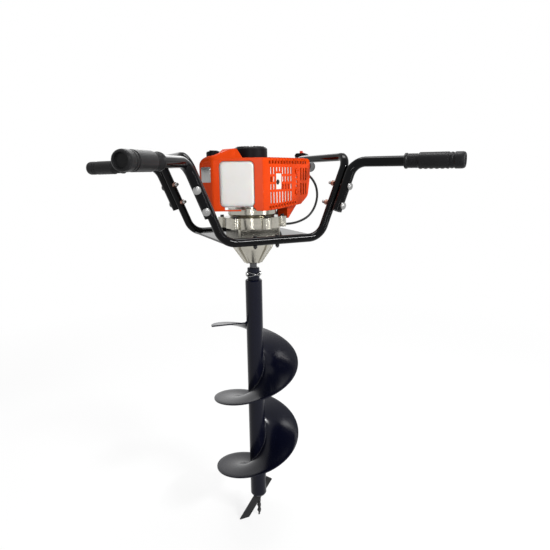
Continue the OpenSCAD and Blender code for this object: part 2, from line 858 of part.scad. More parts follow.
module flywheel() {
  color([0.7, 0.7, 0.7]) machine()
    difference() {
      union() {
        translate([0, 0, 163]) cylinder(r = 52, h = 5);
        translate([0, 0, 163]) cylinder(r = 16, h = 14);
        for (k = [0 : 13])
          rotate([0, 0, k * 360 / 14])
            translate([22, -1.25, 168 - eps]) cube([29, 2.5, 10]);
      }
      translate([0, 0, 153]) cylinder(r = 7.5 + seat, h = 40);
    }
}

module clutch_rotor() {
  color([0.4, 0.39, 0.38]) machine()
    translate([0, 0, 60.5])
      linear_extrude(10.5) {
        for (s = [0, 180])
          rotate([0, 0, s])
            difference() {
              circle(38);
              circle(26);
              translate([-50, -100 + 5 + seat]) square([100, 100]);
            }
        difference() {
          union() {
            circle(12);
            translate([-37, -5]) square([74, 10]);
          }
          circle(5 + seat);
        }
      }
}

module muffler() {
  color([0.8, 0.79, 0.76])
    engine()
      difference() {
        union() {
          translate([8, guard_back, crank_z - 30]) cube([104, 26, 62]);
          translate([8, guard_back, crank_z - 30]) cube([104, 18, 76]);
        }
        translate([11, guard_back + 3, crank_z - 27]) cube([98, 20, 56]);
        translate([11, guard_back + 3, crank_z - 27]) cube([98, 12, 70]);
        translate([72, guard_back + 13, crank_z]) rotate([-90, 0, 0]) cylinder(r = 8, h = 20);
        translate([18, guard_back - 7, crank_z + 17]) rotate([-90, 0, 0]) cylinder(r = 6.5, h = 20);
      }
}

cover_outline = [[-43, crank_z - 57], [30, crank_z - 54], [124, crank_z - 47], [158, crank_z - 25],
  [168, crank_z + 27], [168, cover_top], [-43, cover_top]];
cover_rounds = [0, 10, 14, 20, 20, 14, 0];
cover_shape = rounded_by(cover_outline, cover_rounds);
cover_room = rounded_by(inset(cover_outline, cover_wall), [for (r = cover_rounds) max(0, r - cover_wall)]);

guard_boss_u = 104.5;
guard_boss_z = [crank_z - 12, crank_z + 44];

module muffler_guard() {
  top = cover_top - 24;
  color([0.93, 0.3, 0.08])
    engine()
      difference() {
        union() {
          translate([0, guard_back, 0])
            rotate([90, 0, 0])
              linear_extrude(guard_back - guard_v)
                polygon(cover_shape);
          for (z = guard_boss_z)
            translate([guard_boss_u, guard_back, z]) rotate([90, 0, 0]) cylinder(r = 8, h = 6);
        }
        for (z = guard_boss_z)
          translate([guard_boss_u, guard_back + 1, z]) rotate([90, 0, 0]) cylinder(r = 3, h = 12);
        for (k = [0 : 2])
          translate([guard_boss_u - 3.5, guard_v - 1, guard_boss_z[0] + 13 + 12 * k]) cube([7, 10, 6]);
        for (k = [-1 : 6]) {
          u = 4 + 12.4 * k;
          slot(u, crank_z - 39, crank_z - 9);
          if (k < 1 || k > 2) {
            slot(u, crank_z - 3, crank_z + 11);
            slot(u, crank_z + 17, crank_z + 31);
            slot(u, crank_z + 37, top);
          }
          if (k == 1 || k == 2) slot(u, crank_z + 44, top);
        }
        for (k = [0 : 2]) {
          slot(124 + 12 * k, crank_z - 21, crank_z + 11);
          slot(124 + 12 * k, crank_z + 19, top - 2);
        }
        for (k = [0 : 13]) slot(-14 + 12.4 * k, cover_top - 15, cover_top - 7);
        for (k = [0 : 9]) slot(-14 + 12.4 * k, crank_z - 51.5 + 0.9 * k, crank_z - 46 + 0.9 * k);
        translate([13, guard_v - 1, crank_z - 3]) cube([23, 10, 42]);
      }
}

module slot(u, z0, z1) {
  translate([u - 2.6, guard_v - 1, z0]) cube([5.2, 10, z1 - z0]);
}

module cylinder_cover() {
  color([0.93, 0.3, 0.08])
    engine()
      difference() {
        union() {
          translate([0, cover_v, 0])
            rotate([90, 0, 0])
              linear_extrude(cover_v - guard_back)
                polygon(cover_shape);
          translate([0, -24, 0])
            rotate([90, 0, 0])
              linear_extrude(34)
                polygon([[84, 41], [90, 41], [142, 89], [84, 89]]);
        }
        translate([0, cover_v - cover_wall, 0])
          rotate([90, 0, 0])
            linear_extrude(200)
              polygon(cover_room);
        translate([0, -24 - cover_wall, 0])
          rotate([90, 0, 0])
            linear_extrude(34 - 2 * cover_wall)
              polygon([[84 + cover_wall, 41 + cover_wall], [88, 41 + cover_wall], [134, 89],
                [84 + cover_wall, 89]]);
        translate([-60, -80, 53]) cube([126, 200, 30]);
        translate([-60, -80, 53]) cube([20, 200, cover_top - cover_wall - 53]);
        translate([-60, -25, 53]) cube([62, 120, 200]);
        translate([0, 0, 53]) cylinder(r = 62, h = cover_top - cover_wall - 53);
        translate([0, 0, 173]) cylinder(r = dome_r + 1, h = 60);
        translate([68, 30, crank_z]) rotate([-90, 0, 0]) cylinder(r = 12.5, h = 30);
      }
}

// Fuel tank and its guard
function tank_v(u, d) = (d - tank_n[0] * u) / tank_n[1];
tank_u = -121 + seat;
tank_z0 = 80;
cap_u = -99;
cap_v = 40;
tank_window = box2(18, tank_z0, 108, tank_top - 3);
tank_outline = [[tank_u, 62], [tank_u, tank_v(tank_u, tank_face - seat)],
  [-50, tank_v(-50, tank_face - seat)],
  [-40, -52], [-59, -30], [-59, 62]];

module fuel_tank() {
  color([0.93, 0.93, 0.92])
    engine()
      difference() {
        union() {
          difference() {
            translate([0, 0, tank_z0])
              linear_extrude(tank_top - tank_z0)
                polygon(rounded_by(tank_outline, [6, 12, 6, 6, 6, 6]));
            translate([-200, 62, tank_top - 10]) rotate([45, 0, 0]) cube([200, 20, 20]);
          }
          translate([cap_u, cap_v, tank_top - eps]) cylinder(r = 12, h = 10);
          on_chamfer()
            hull() {
              translate([0, 0, -5]) linear_extrude(2) polygon(rounded(inset(tank_window, 1.2), 12, 8));
              translate([0, 0, -1.5]) linear_extrude(0.5) polygon(rounded(inset(tank_window, 2), 12, 8));
              translate([0, 0, 0.2]) linear_extrude(0.4) polygon(rounded(inset(tank_window, 4.5), 12, 8));
              translate([0, 0, 1]) linear_extrude(0.4) polygon(rounded(inset(tank_window, 8), 12, 8));
            }
        }
        translate([0, 0, tank_z0 + 3])
          linear_extrude(tank_top - tank_z0 - 13)
            polygon(rounded(inset(tank_outline, 3), 3));
        translate([cap_u, cap_v, tank_top - 20]) cylinder(r = 9, h = 60);
      }
}

module fuel_cap() {
  color([0.08, 0.08, 0.08])
    engine()
      translate([cap_u, cap_v, tank_top])
        difference() {
          union() {
            translate([0, 0, 9]) cylinder(r = 18, h = 13);
            for (k = [0 : 11]) rotate([0, 0, 30 * k]) translate([18, 0, 9]) cylinder(r = 1.6, h = 11);
          }
          translate([0, 0, 3]) cylinder(r = 12 + run_fit, h = 8);
        }
}

guard_u0 = -125;
guard_u1 = -43;
chamfer_a = [guard_u0, tank_v(guard_u0, tank_face + 4)];
chamfer_b = [guard_u1, tank_v(guard_u1, tank_face + 4)];
chamfer_dir = atan2(chamfer_b[1] - chamfer_a[1], chamfer_b[0] - chamfer_a[0]);

// Puts a drawing of X along the tank's window face and Y up onto that face
module on_chamfer() {
  translate([chamfer_a[0], chamfer_a[1], 0])
    rotate([0, 0, chamfer_dir])
      rotate([90, 0, 0])
        children();
}

// Room above a slope that rises to the back from the top of the tank's window face
module above_slope(z) {
  on_chamfer()
    translate([-60, 0, 0])
      rotate([0, 90, 0])
        linear_extrude(240)
          polygon([[-9, z - 27], [17, z + 51], [-9, z + 51]]);
}

module tank_guard() {
  a = chamfer_a;
  b = chamfer_b;
  c = [guard_u1, tank_v(guard_u1, tank_face)];
  d = [guard_u0 + 4, tank_v(guard_u0 + 4, tank_face)];
  back = [guard_u0, 64];
  strip = concat([back], corner(back, a, b, 14, 8), [b, c], corner(c, d, [guard_u0 + 4, 64], 10, 8),
    [[guard_u0 + 4, 64]]);
  rim = concat([[guard_u0 - 20, 50], a - [20, 40], b + [20, -40], c + [20, 0]],
    corner(c, d, [guard_u0 + 4, 64], 10, 8), [[guard_u0 + 4, 50]]);
  e = [guard_u0 + 2, tank_v(guard_u0 + 2, tank_face + 2)];
  f = [guard_u1, tank_v(guard_u1, tank_face + 2)];
  roof_plan = concat(corner([guard_u0 + 2, 70], e, f, 12, 8), [f, [guard_u1, 70], [guard_u0 + 2, 70]]);
  ramp = [[-75, cover_top], [-78, cover_top + 23], [-88, cover_top + 23], [-119, cover_top + 3],
    [guard_u0, cover_top - 5]];
  color([0.93, 0.3, 0.08])
    engine()
      difference() {
        intersection() {
          union() {
            translate([0, 0, 70]) linear_extrude(170) polygon(strip);
            translate([0, 0, cover_top - 2.5]) linear_extrude(40) polygon(roof_plan);
          }
          translate([0, 70, 0])
            rotate([90, 0, 0])
              linear_extrude(200)
                polygon(concat([[guard_u0 - 1, 69], [guard_u1, 69], [guard_u1, cover_top]], ramp,
                  [[guard_u0 - 1, cover_top - 5.4]]));
          rotate([90, 0, 90])
            translate([0, 0, -140])
              linear_extrude(110)
                polygon(rounded_by([[-120, 69], [64, 69], [64, cover_top - 3], [18, cover_top - 3],
                  [18, cover_top + 40], [-120, cover_top + 40]], [0, 10, 16, 0, 0, 0]));
        }
        above_slope(cover_top - 2);
        difference() {
          translate([0, 19, 0])
            rotate([90, 0, 0])
              linear_extrude(130)
                polygon([[guard_u0 - 9, 180], [guard_u1 + 9, 180], [guard_u1 + 9, cover_top - 3],
                  [-78, cover_top - 3], [-80, cover_top + 19], [-87, cover_top + 19],
                  [-114, cover_top + 1.5], [guard_u0 - 9, cover_top - 14]]);
          above_slope(cover_top - 14.6);
          translate([0, 0, 170]) linear_extrude(80) polygon(rim);
        }
        on_chamfer() translate([0, 0, -20]) linear_extrude(40) polygon(rounded(tank_window, 13, 8));
        on_chamfer() translate([0, 0, -20]) linear_extrude(40) polygon(box2(30, 73.5, 72.5, 100));
        on_chamfer() translate([0, 0, -20]) linear_extrude(40)
          polygon([[72, 53], [106, 53], [113, 70], [100, 88], [72, 88]]);
        translate([0, 0, 53]) cylinder(r = dome_r + 1, h = 200);
      }
}

module starter_housing() {
  color([0.08, 0.08, 0.09])
    engine()
      difference() {
        union() {
          difference() {
            rotate_extrude()
              polygon([[0, 187], [57, 187], [57, cover_top - cover_wall], [dome_r, cover_top - cover_wall],
                [dome_r, 230], [dome_r - 4, 234], [0, 235]]);
            translate([0, 0, 173]) cylinder(r = 41, h = 57);
          }
          translate([0, 0, 190]) cylinder(r = 6, h = 42);
          for (a = leg_turns)
            rotate([0, 0, a]) translate([57, 0, 161]) cylinder(r = 3.5, h = 30);
        }
        rotate([0, 0, rope_dir])
          translate([0, rope_off, 213]) rotate([0, 90, 0]) cylinder(r = 4, h = 60);
      }
}
rope_dir = 62;
rope_off = 30;

module starter_pulley() {
  color([0.2, 0.2, 0.22]) machine()
    rotate_extrude()
      polygon([[6 + run_fit, 205], [34, 205], [34, 207], [27, 210], [27, 216], [34, 219], [34, 221],
        [6 + run_fit, 221]]);
}

module starter_handle() {
  color([0.1, 0.1, 0.1])
    engine()
      rotate([0, 0, rope_dir])
        translate([0, rope_off, 213]) {
          translate([-20, 0, 0]) rotate([0, 90, 0]) cylinder(r = 1.8, h = 70);
          translate([39 + move_gap, 0, 0]) rotate([0, 90, 0]) cylinder(r = 7, h = 16);
          translate([60, 0, 0]) rotate([90, 0, 0]) cylinder(r = 7.5, h = 70, center = true);
        }
}

module carburettor() {
  color([0.72, 0.72, 0.72])
    engine()
      difference() {
        union() {
          translate([52, 47, crank_z - 18]) cube([32, 34, 36]);
          translate([68, 66, crank_z + 17]) cylinder(r = 3, h = 9);
          translate([50, 47, crank_z - 14]) cube([36, 5, 28]);
          translate([83, 61, crank_z - 8]) cube([12, 10, 10]);
        }
        translate([68, 40, crank_z]) rotate([-90, 0, 0]) cylinder(r = 8, h = 60);
      }
}

module throttle_lever() {
  color([0.6, 0.6, 0.6])
    engine()
      translate([68, 66, crank_z + 18.5])
        linear_extrude(3)
          difference() {
            union() {
              circle(7);
              rotate([0, 0, 20]) translate([0, -3]) square([20, 6]);
            }
            circle(3 + run_fit);
          }
}

module air_filter_cover() {
  color([0.08, 0.08, 0.09])
    engine()
      difference() {
        union() {
          translate([42, 81, crank_z - 34]) linear_extrude(68) polygon(rounded(box2(0, 0, 52, 40), 6));
          translate([36, 96, crank_z + 16]) rotate([0, 90, 0]) cylinder(r = 2.5, h = 8);
        }
        translate([45, 85, crank_z - 31]) cube([46, 33, 62]);
        translate([68, 70, crank_z]) rotate([-90, 0, 0]) cylinder(r = 8, h = 20);
      }
}

module choke_lever() {
  color([0.12, 0.12, 0.12])
    engine()
      translate([37.5, 96, crank_z + 16])
        rotate([0, 90, 0])
          linear_extrude(4)
            difference() {
              union() {
                circle(6);
                translate([-24, -3]) square([24, 6]);
              }
              circle(2.5 + run_fit);
            }
}

// Throttle control on the rear right handle
thr1 = handle_len - grip_len - 5;
thr0 = thr1 - 48;

trig_x = 18;
trig_s = thr0 + 20;
rock_x = -35;
rock_s = thr0 + 24;

module throttle_housing() {
  color([0.07, 0.07, 0.08])
    along_handle(1, 1) {
      difference() {
        translate([0, 0, thr0])
          linear_extrude(thr1 - thr0)
            polygon(rounded([[-40, -18], [22, -18], [22, 18], [-40, 18]], 6));
        translate([0, 0, thr0 - 1]) cylinder(r = handle_r + seat, h = 60);
        translate([-45, -6, thr0 + 10]) cube([20, 12, 28]);
        translate([14, -5, thr0 + 8]) cube([20, 10, 60]);
        translate(cable_in) rotate([0, 90, 0]) cylinder(r = cable_r + 1.5, h = 30);
      }
      translate([trig_x, 8, trig_s]) rotate([90, 0, 0]) cylinder(r = 2, h = 16);
      translate([rock_x, 8, rock_s]) rotate([90, 0, 0]) cylinder(r = 2, h = 16);
    }
}

module kill_switch() {
  color([0.85, 0.15, 0.08])
    along_handle(1, 1)
      translate([rock_x, 0, rock_s])
        rotate([90, 0, 0])
          linear_extrude(10, center = true)
            difference() {
              polygon([[4, -11], [4, 11], [-10, 11.8], [-6, 0], [-13, -11.8]]);
              circle(2 + run_fit);
            }
}

module throttle_trigger() {
  color([0.4, 0.4, 0.42])
    along_handle(1, 1)
      translate([trig_x, 0, trig_s])
        rotate([90, 0, 0])
          linear_extrude(8, center = true)
            difference() {
              polygon(rounded([[-3.4, -4], [7, -8], [18, 20], [28, 64], [23, 68], [10, 26], [1, 8],
                [-3.2, 1.5]], 1.5, 3));
              circle(2 + run_fit);
            }
}

cable_r = 4;
cable_in = [21, -8, thr0 + 34];
cable_down = unit([0, 0, -1] - handle_dir * (handle_dir * [0, 0, -1]));
cable_across = cross(handle_dir, cable_down);
function at_handle(p) = handle_corner + cable_down * p[0] + cable_across * p[1] + handle_dir * p[2];
cable_route = concat(
  [at_handle(cable_in - [12, 0, 0]), at_handle(cable_in + [seat, 0, 0])],
  [for (p = [[318, 249, 149], [335, 247, 121], [339, 245, 85], [327, 243, 48], [302, 240, 20], [262, 228, 5],
    [214, 206, 1], [170, 190, 5], [136, 172, 16], [110, 154, 33], [90, 134, 57], [64, 111, 85],
    [51, 101, 105], [49, 99.4, 117.9], [48, 99, 127]]) p + [0, 0, rail_z]]);
function bow(a, b, c, d, t) =
  0.5 * ((2 * b) + (c - a) * t + (2 * a - 5 * b + 4 * c - d) * t * t + (3 * b - a - 3 * c + d) * t * t * t);
cable_line = [for (i = [1 : len(cable_route) - 3]) for (k = [0 : 3])
  bow(cable_route[i - 1], cable_route[i], cable_route[i + 1], cable_route[i + 2], k / 4),
  cable_route[len(cable_route) - 2]];
cable_side = [0.5, -0.85, 0.15];
function cable_ring(i) =
  let (n = len(cable_line), run = cable_line[min(n - 1, i + 1)] - cable_line[max(0, i - 1)])
  let (t = i == 0 ? cable_down : i == n - 1 ? [0, 0, 1] : unit(run))
  let (p = unit(cable_side - t * (t * cable_side)), q = cross(t, p))
  [for (k = [0 : 9]) cable_line[i] + cable_r * (p * cos(36 * k) + q * sin(36 * k))];

module throttle_cable() {
  color([0.05, 0.05, 0.05])
    skin([for (i = [0 : len(cable_line) - 1]) cable_ring(i)]);
}

// Sub-part to draw

left_frame_tube();
right_frame_tube();
rail_spigots();
base_plate();
base_bolts();
front_left_handle();
front_right_handle();
rear_left_handle();
rear_right_handle();
front_left_grip();
front_right_grip();
rear_left_grip();
rear_right_grip();
handle_bolts();
handle_nuts();
auger_tube();
auger_flight();
cutting_blade();
pilot_point();
coupling_sleeve();
drive_pin();
pin_clip();
output_shaft();
output_gear();
layshaft();
layshaft_gear();
clutch_drum();
gear_case_lower();
gear_case_upper();
gear_case_screws();
bearings();
oil_seal();
clutch_housing();
crankcase();
crankshaft();
connecting_rod();
rod_pins();
piston();
cylinder_block();
spark_plug();
plug_boot();
flywheel();
clutch_rotor();
muffler();
muffler_guard();
cylinder_cover();
fuel_tank();
fuel_cap();
tank_guard();
starter_housing();
starter_pulley();
starter_handle();
carburettor();
throttle_lever();
air_filter_cover();
choke_lever();
throttle_housing();
kill_switch();
throttle_trigger();
throttle_cable();
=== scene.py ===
"""Earth auger for two operators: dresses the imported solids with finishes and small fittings."""

from __future__ import annotations

import json
import logging
import math
from abc import ABC, abstractmethod
from dataclasses import dataclass, field
from enum import Enum
from typing import Any, Sequence
import bmesh
import bpy
from mathutils import Matrix, Vector


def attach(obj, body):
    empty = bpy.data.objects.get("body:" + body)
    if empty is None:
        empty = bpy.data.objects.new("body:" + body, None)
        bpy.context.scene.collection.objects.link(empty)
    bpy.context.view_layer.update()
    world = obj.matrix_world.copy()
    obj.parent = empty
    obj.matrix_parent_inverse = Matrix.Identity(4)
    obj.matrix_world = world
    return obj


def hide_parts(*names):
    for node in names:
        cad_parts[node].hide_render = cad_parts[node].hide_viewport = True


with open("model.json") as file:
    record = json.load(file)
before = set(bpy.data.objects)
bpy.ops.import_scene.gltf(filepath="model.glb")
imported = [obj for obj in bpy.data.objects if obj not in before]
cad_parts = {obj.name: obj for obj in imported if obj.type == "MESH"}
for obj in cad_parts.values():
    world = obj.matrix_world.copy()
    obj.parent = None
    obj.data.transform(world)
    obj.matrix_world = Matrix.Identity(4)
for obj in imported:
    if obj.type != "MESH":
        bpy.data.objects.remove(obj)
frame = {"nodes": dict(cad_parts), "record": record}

LOG = logging.getLogger("earth_auger")
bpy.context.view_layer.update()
MM = 0.001
WHITE = (1.0, 1.0, 1.0, 1.0)
MERGE_REACH = 1e-6
SLIVER = 1e-7
BEVEL_FROM = math.radians(40)
SHARP_FROM = math.radians(35)

Point = tuple[float, float, float]
Colour = tuple[float, float, float]
Profile = Sequence[tuple[float, float]]


class Body(str, Enum):
    """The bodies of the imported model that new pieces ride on."""

    FRAME = "frame"
    BIT = "bit"
    TANK_CAP = "tank_cap"


class Texture(Enum):
    """How the surface of a finish breaks up."""

    PAINT = "paint"
    MOULDED = "moulded"
    CAST = "cast"
    TURNED = "turned"
    RUBBER = "rubber"


class Wire:
    """An output socket of a node tree that can be used in sums.

    Args:
        shop: the tree builder that owns the socket.
        socket: the output socket.
    """

    def __init__(self, shop: NodeShop, socket: bpy.types.NodeSocket) -> None:
        """Keeps the socket with its builder."""
        self.shop = shop
        self.socket = socket

    def math(self, operation: str, *values: Any) -> Wire:
        """Adds one Math node with the given inputs, Wires or numbers."""
        return self.shop.node("ShaderNodeMath", {"operation": operation}, dict(enumerate(values)))

    def __add__(self, other: Any) -> Wire:
        """Sum."""
        return self.math("ADD", self, other)

    def __radd__(self, other: Any) -> Wire:
        """Reflected sum."""
        return self.math("ADD", other, self)

    def __sub__(self, other: Any) -> Wire:
        """Difference."""
        return self.math("SUBTRACT", self, other)

    def __rsub__(self, other: Any) -> Wire:
        """Reflected difference."""
        return self.math("SUBTRACT", other, self)

    def __mul__(self, other: Any) -> Wire:
        """Product."""
        return self.math("MULTIPLY", self, other)

    def __rmul__(self, other: Any) -> Wire:
        """Reflected product."""
        return self.math("MULTIPLY", other, self)

    def __truediv__(self, other: Any) -> Wire:
        """Quotient."""
        return self.math("DIVIDE", self, other)

    def __rtruediv__(self, other: Any) -> Wire:
        """Reflected quotient."""
        return self.math("DIVIDE", other, self)

    def at_most(self, other: Any) -> Wire:
        """Lower of the two values."""
        return self.math("MINIMUM", self, other)

    def at_least(self, other: Any) -> Wire:
        """Higher of the two values."""
        return self.math("MAXIMUM", self, other)

    def sin(self) -> Wire:
        """Sine."""
        return self.math("SINE", self)

    def cos(self) -> Wire:
        """Cosine."""
        return self.math("COSINE", self)


class NodeShop:
    """Builds the nodes of one tree.

    Args:
        tree: the node tree.
    """

    def __init__(self, tree: bpy.types.NodeTree) -> None:
        """Keeps the tree."""
        self.tree = tree

    def add(self, kind: str, settings: dict[str, Any], inputs: dict[Any, Any]) -> bpy.types.Node:
        """Adds a node, sets it and joins its sockets.

        Args:
            kind: the node's type name.
            settings: attributes, set first; "stops" fills a colour ramp.
            inputs: socket name or number to a value, a Wire or a list of Wires.

        Returns:
            The node.
        """
        node = self.tree.nodes.new(kind)
        for key, value in settings.items():
            if key == "stops":
                self._fill_ramp(node.color_ramp, value)
            else:
                setattr(node, key, value)
        for key, value in inputs.items():
            socket = node.inputs[key]
            if isinstance(value, (Wire, list)):
                for wire in value if isinstance(value, list) else [value]:
                    self.tree.links.new(wire.socket, socket)
            else:
                socket.default_value = value
        return node

    @staticmethod
    def _fill_ramp(ramp: bpy.types.ColorRamp, stops: Sequence[tuple[float, float]]) -> None:
        """Gives a ramp grey stops.

        Args:
            ramp: the ramp.
            stops: place and grey level of each stop.
        """
        while len(ramp.elements) < len(stops):
            ramp.elements.new(1.0)
        for element, (place, grey) in zip(ramp.elements, stops):
            element.position = place
            element.color = (grey, grey, grey, 1.0)

    def node(
        self, kind: str, settings: dict[str, Any], inputs: dict[Any, Any], out: Any = 0
    ) -> Wire:
        """Adds a node and gives one of its outputs, by name or number."""
        return Wire(self, self.add(kind, settings, inputs).outputs[out])


class MaterialShop(NodeShop):
    """Builds one node material.

    Args:
        name: the material's name.
    """

    def __init__(self, name: str) -> None:
        """Makes the material with an empty tree."""
        self.material = bpy.data.materials.new(name)
        self.material.use_nodes = True
        super().__init__(self.material.node_tree)
        self.tree.nodes.clear()

    def place(self, scale: Point = (1.0, 1.0, 1.0)) -> Wire:
        """Object coordinates, stretched.

        Args:
            scale: stretch along each axis.

        Returns:
            The coordinates.
        """
        coords = self.node("ShaderNodeTexCoord", {}, {}, "Object")
        if scale == (1.0, 1.0, 1.0):
            return coords
        return self.node("ShaderNodeMapping", {}, {"Vector": coords, "Scale": scale})

    def noise(self, coords: Wire, scale: float, detail: float = 3.0, rough: float = 0.55) -> Wire:
        """Noise between 0 and 1, with the scale in cells per metre."""
        settings = {"Vector": coords, "Scale": scale, "Detail": detail, "Roughness": rough}
        return self.node("ShaderNodeTexNoise", {}, settings)

    def ramp(self, value: Wire, low: float, high: float) -> Wire:
        """Steps a value from 0 at low to 1 at high."""
        return self.node("ShaderNodeValToRGB", {"stops": [(low, 0.0), (high, 1.0)]}, {0: value})

    def mix_colour(self, factor: Any, first: Any, second: Any) -> Wire:
        """Mixes two colours; the factor is the share of the second."""
        colours = {"Factor": factor, 6: first, 7: second}
        return self.node("ShaderNodeMix", {"data_type": "RGBA"}, colours, 2)


class GeometryShop(NodeShop):
    """Builds one Geometry Nodes tree and turns it into a plain mesh.

    Args:
        name: the tree's name.
        inputs: input name to its socket type and value.
    """

    def __init__(self, name: str, inputs: dict[str, tuple[str, Any]]) -> None:
        """Makes the tree with its named inputs."""
        super().__init__(bpy.data.node_groups.new(name, "GeometryNodeTree"))
        face = self.tree.interface
        face.new_socket("Geometry", in_out="OUTPUT", socket_type="NodeSocketGeometry")
        face.new_socket("Geometry", in_out="INPUT", socket_type="NodeSocketGeometry")
        self.values: dict[str, Any] = {}
        for key, (kind, value) in inputs.items():
            socket = face.new_socket(key, in_out="INPUT", socket_type=kind)
            self.values[socket.identifier] = value
        self.entry = self.tree.nodes.new("NodeGroupInput")

    def given(self, name: str) -> Wire:
        """One of the tree's inputs."""
        return Wire(self, self.entry.outputs[name])

    def vector(self, x: Any, y: Any, z: Any) -> Wire:
        """Joins three values into a vector."""
        return self.node("ShaderNodeCombineXYZ", {}, {0: x, 1: y, 2: z})

    def strip(self, along: int, across: int) -> tuple[Wire, Wire, Wire]:
        """A flat grid with its two coordinates.

        Args:
            along: points along it.
            across: points across it.

        Returns:
            The grid, and the coordinates from 0 to 1 along and across.
        """
        sizes = {"Size X": 1.0, "Size Y": 1.0, "Vertices X": along, "Vertices Y": across}
        grid = self.node("GeometryNodeMeshGrid", {}, sizes)
        spot = self.node("GeometryNodeInputPosition", {}, {})
        apart = self.add("ShaderNodeSeparateXYZ", {}, {0: spot})
        return grid, Wire(self, apart.outputs[0]) + 0.5, Wire(self, apart.outputs[1]) + 0.5

    def to_mesh(
        self, geometry: Wire, material: bpy.types.Material, carrier: bpy.types.Mesh
    ) -> bpy.types.Mesh:
        """Ends the tree, runs it once on a carrier and keeps the result.

        Args:
            geometry: the last geometry.
            material: the material that the mesh gets.
            carrier: the mesh that the tree starts from.

        Returns:
            The finished plain mesh.
        """
        whole = self.node("GeometryNodeRealizeInstances", {}, {0: geometry})
        look = {"Geometry": whole, "Material": material}
        self.add("NodeGroupOutput", {}, {0: self.node("GeometryNodeSetMaterial", {}, look)})
        holder = bpy.data.objects.new("holder", carrier)
        bpy.context.scene.collection.objects.link(holder)
        modifier = holder.modifiers.new("tree", "NODES")
        modifier.node_group = self.tree
        for identifier, value in self.values.items():
            modifier[identifier] = value
        bpy.context.view_layer.update()
        graph = bpy.context.evaluated_depsgraph_get()
        mesh = bpy.data.meshes.new_from_object(holder.evaluated_get(graph))
        holder.modifiers.clear()
        bpy.data.objects.remove(holder)
        return mesh


@dataclass(frozen=True)
class Finish:
    """One finish of the machine, with all its numbers."""

    name: str
    slot: str
    texture: Texture
    colour: Colour
    shade: Colour
    rough: float
    rough_span: float = 0.12
    metal: float = 0.0
    coat: float = 0.0
    specular: float = 0.5
    subsurface: float = 0.0
    grain: float = 900.0
    bump: float = 0.04
    wear_and_sheen: Colour = (0.2, 0.2, 0.2)
    wear_and_sheen_share: float = 0.0
    edge_round: float = 0.0006

    def build(self) -> bpy.types.Material:
        """Makes the material.

        Returns:
            The material.
        """
        shop = MaterialShop(self.name)
        coords = shop.place()
        broad = shop.noise(coords, scale=14.0, detail=4.0, rough=0.6)
        fine = shop.noise(coords, scale=self.grain, detail=2.0, rough=0.5)
        relief = self._relief(shop, coords, fine)
        tone = shop.ramp(broad * 0.75 + fine * 0.25, low=0.3, high=0.7)
        colour = shop.mix_colour(tone, self._rgba(self.shade), self._rgba(self.colour))
        rough = self.rough + (broad - 0.5) * self.rough_span + (fine - 0.5) * self.rough_span
        soft_edge = shop.node("ShaderNodeBevel", {"samples": 4}, {"Radius": self.edge_round})
        # Mixes in the wear colour: real wear for most finishes; on the orange cover the paler edges
        # are a painted highlight.
        if self.wear_and_sheen_share > 0.0:
            worn_and_sheen = self._wear_and_sheen(shop, coords, soft_edge)
            colour = shop.mix_colour(worn_and_sheen, colour, self._rgba(self.wear_and_sheen))
            rough = rough + worn_and_sheen * 0.2
        normal = shop.node(
            "ShaderNodeBump",
            {},
            {"Strength": self.bump, "Distance": 0.001, "Height": relief, "Normal": soft_edge},
        )
        surface = shop.node(
            "ShaderNodeBsdfPrincipled",
            {},
            {
                "Base Color": colour,
                "Roughness": rough.at_least(0.05),
                "Metallic": self.metal,
                "Coat Weight": self.coat,
                "Coat Roughness": 0.08,
                "Specular IOR Level": self.specular,
                "Subsurface Weight": self.subsurface,
                "Subsurface Scale": 0.01,
                "Normal": normal,
            },
        )
        shop.add("ShaderNodeOutputMaterial", {}, {"Surface": surface})
        return shop.material

    def _wear_and_sheen(self, shop: MaterialShop, coords: Wire, soft_edge: Wire) -> Wire:
        """Where the finish is rubbed: in scratched patches and along edges; on the orange cover the
        paler edges are a painted highlight.

        Args:
            shop: the material builder.
            coords: object coordinates.
            soft_edge: the normal with rounded edges.

        Returns:
            The share of wear and of painted edge highlight.
        """
        stretched = shop.place((1.0, 1.0, 0.25))
        lines = shop.noise(stretched, scale=160.0, detail=6.0, rough=0.75)
        scratches = shop.ramp(lines, low=0.66, high=0.78)
        patches = shop.ramp(shop.noise(coords, scale=9.0, detail=2.0), low=0.5, high=0.72)
        plain = shop.node("ShaderNodeNewGeometry", {}, {}, "Normal")
        product = {"operation": "DOT_PRODUCT"}
        match = shop.node("ShaderNodeVectorMath", product, {0: soft_edge, 1: plain}, "Value")
        chips_and_sheen_breakup = shop.ramp(shop.noise(coords, scale=75.0, detail=3.0), low=0.42, high=0.66)
        # Edge mask: real edge wear for most finishes; on the orange cover it paints a highlight
        # along edges.
        edge = shop.ramp(1.0 - match, low=0.04, high=0.3) * chips_and_sheen_breakup
        return ((scratches * patches + edge) * self.wear_and_sheen_share).at_most(1.0)

    @staticmethod
    def _rgba(colour: Colour) -> tuple[float, float, float, float]:
        """Adds full alpha to a colour."""
        return (*colour, 1.0)

    def _relief(self, shop: MaterialShop, coords: Wire, fine: Wire) -> Wire:
        """Height for the bump.

        Args:
            shop: the material builder.
            coords: object coordinates.
            fine: the fine noise.

        Returns:
            The height.
        """
        if self.texture is Texture.PAINT:
            return shop.noise(coords, scale=120.0, detail=1.0, rough=0.4) + fine * 0.06
        if self.texture is Texture.CAST:
            sand = shop.noise(coords, scale=420.0, detail=3.0, rough=0.65)
            return shop.ramp(sand, low=0.32, high=0.62) + fine * 0.5
        if self.texture is Texture.TURNED:
            rings = shop.place((1.0, 1.0, 9.0))
            return shop.noise(rings, scale=420.0, detail=3.0, rough=0.6)
        if self.texture is Texture.RUBBER:
            grid = {"Vector": coords, "Scale": 1100.0}
            return shop.node("ShaderNodeTexVoronoi", {"feature": "F1"}, grid) + fine * 0.4
        return fine + shop.noise(coords, scale=60.0, detail=2.0) * 0.4


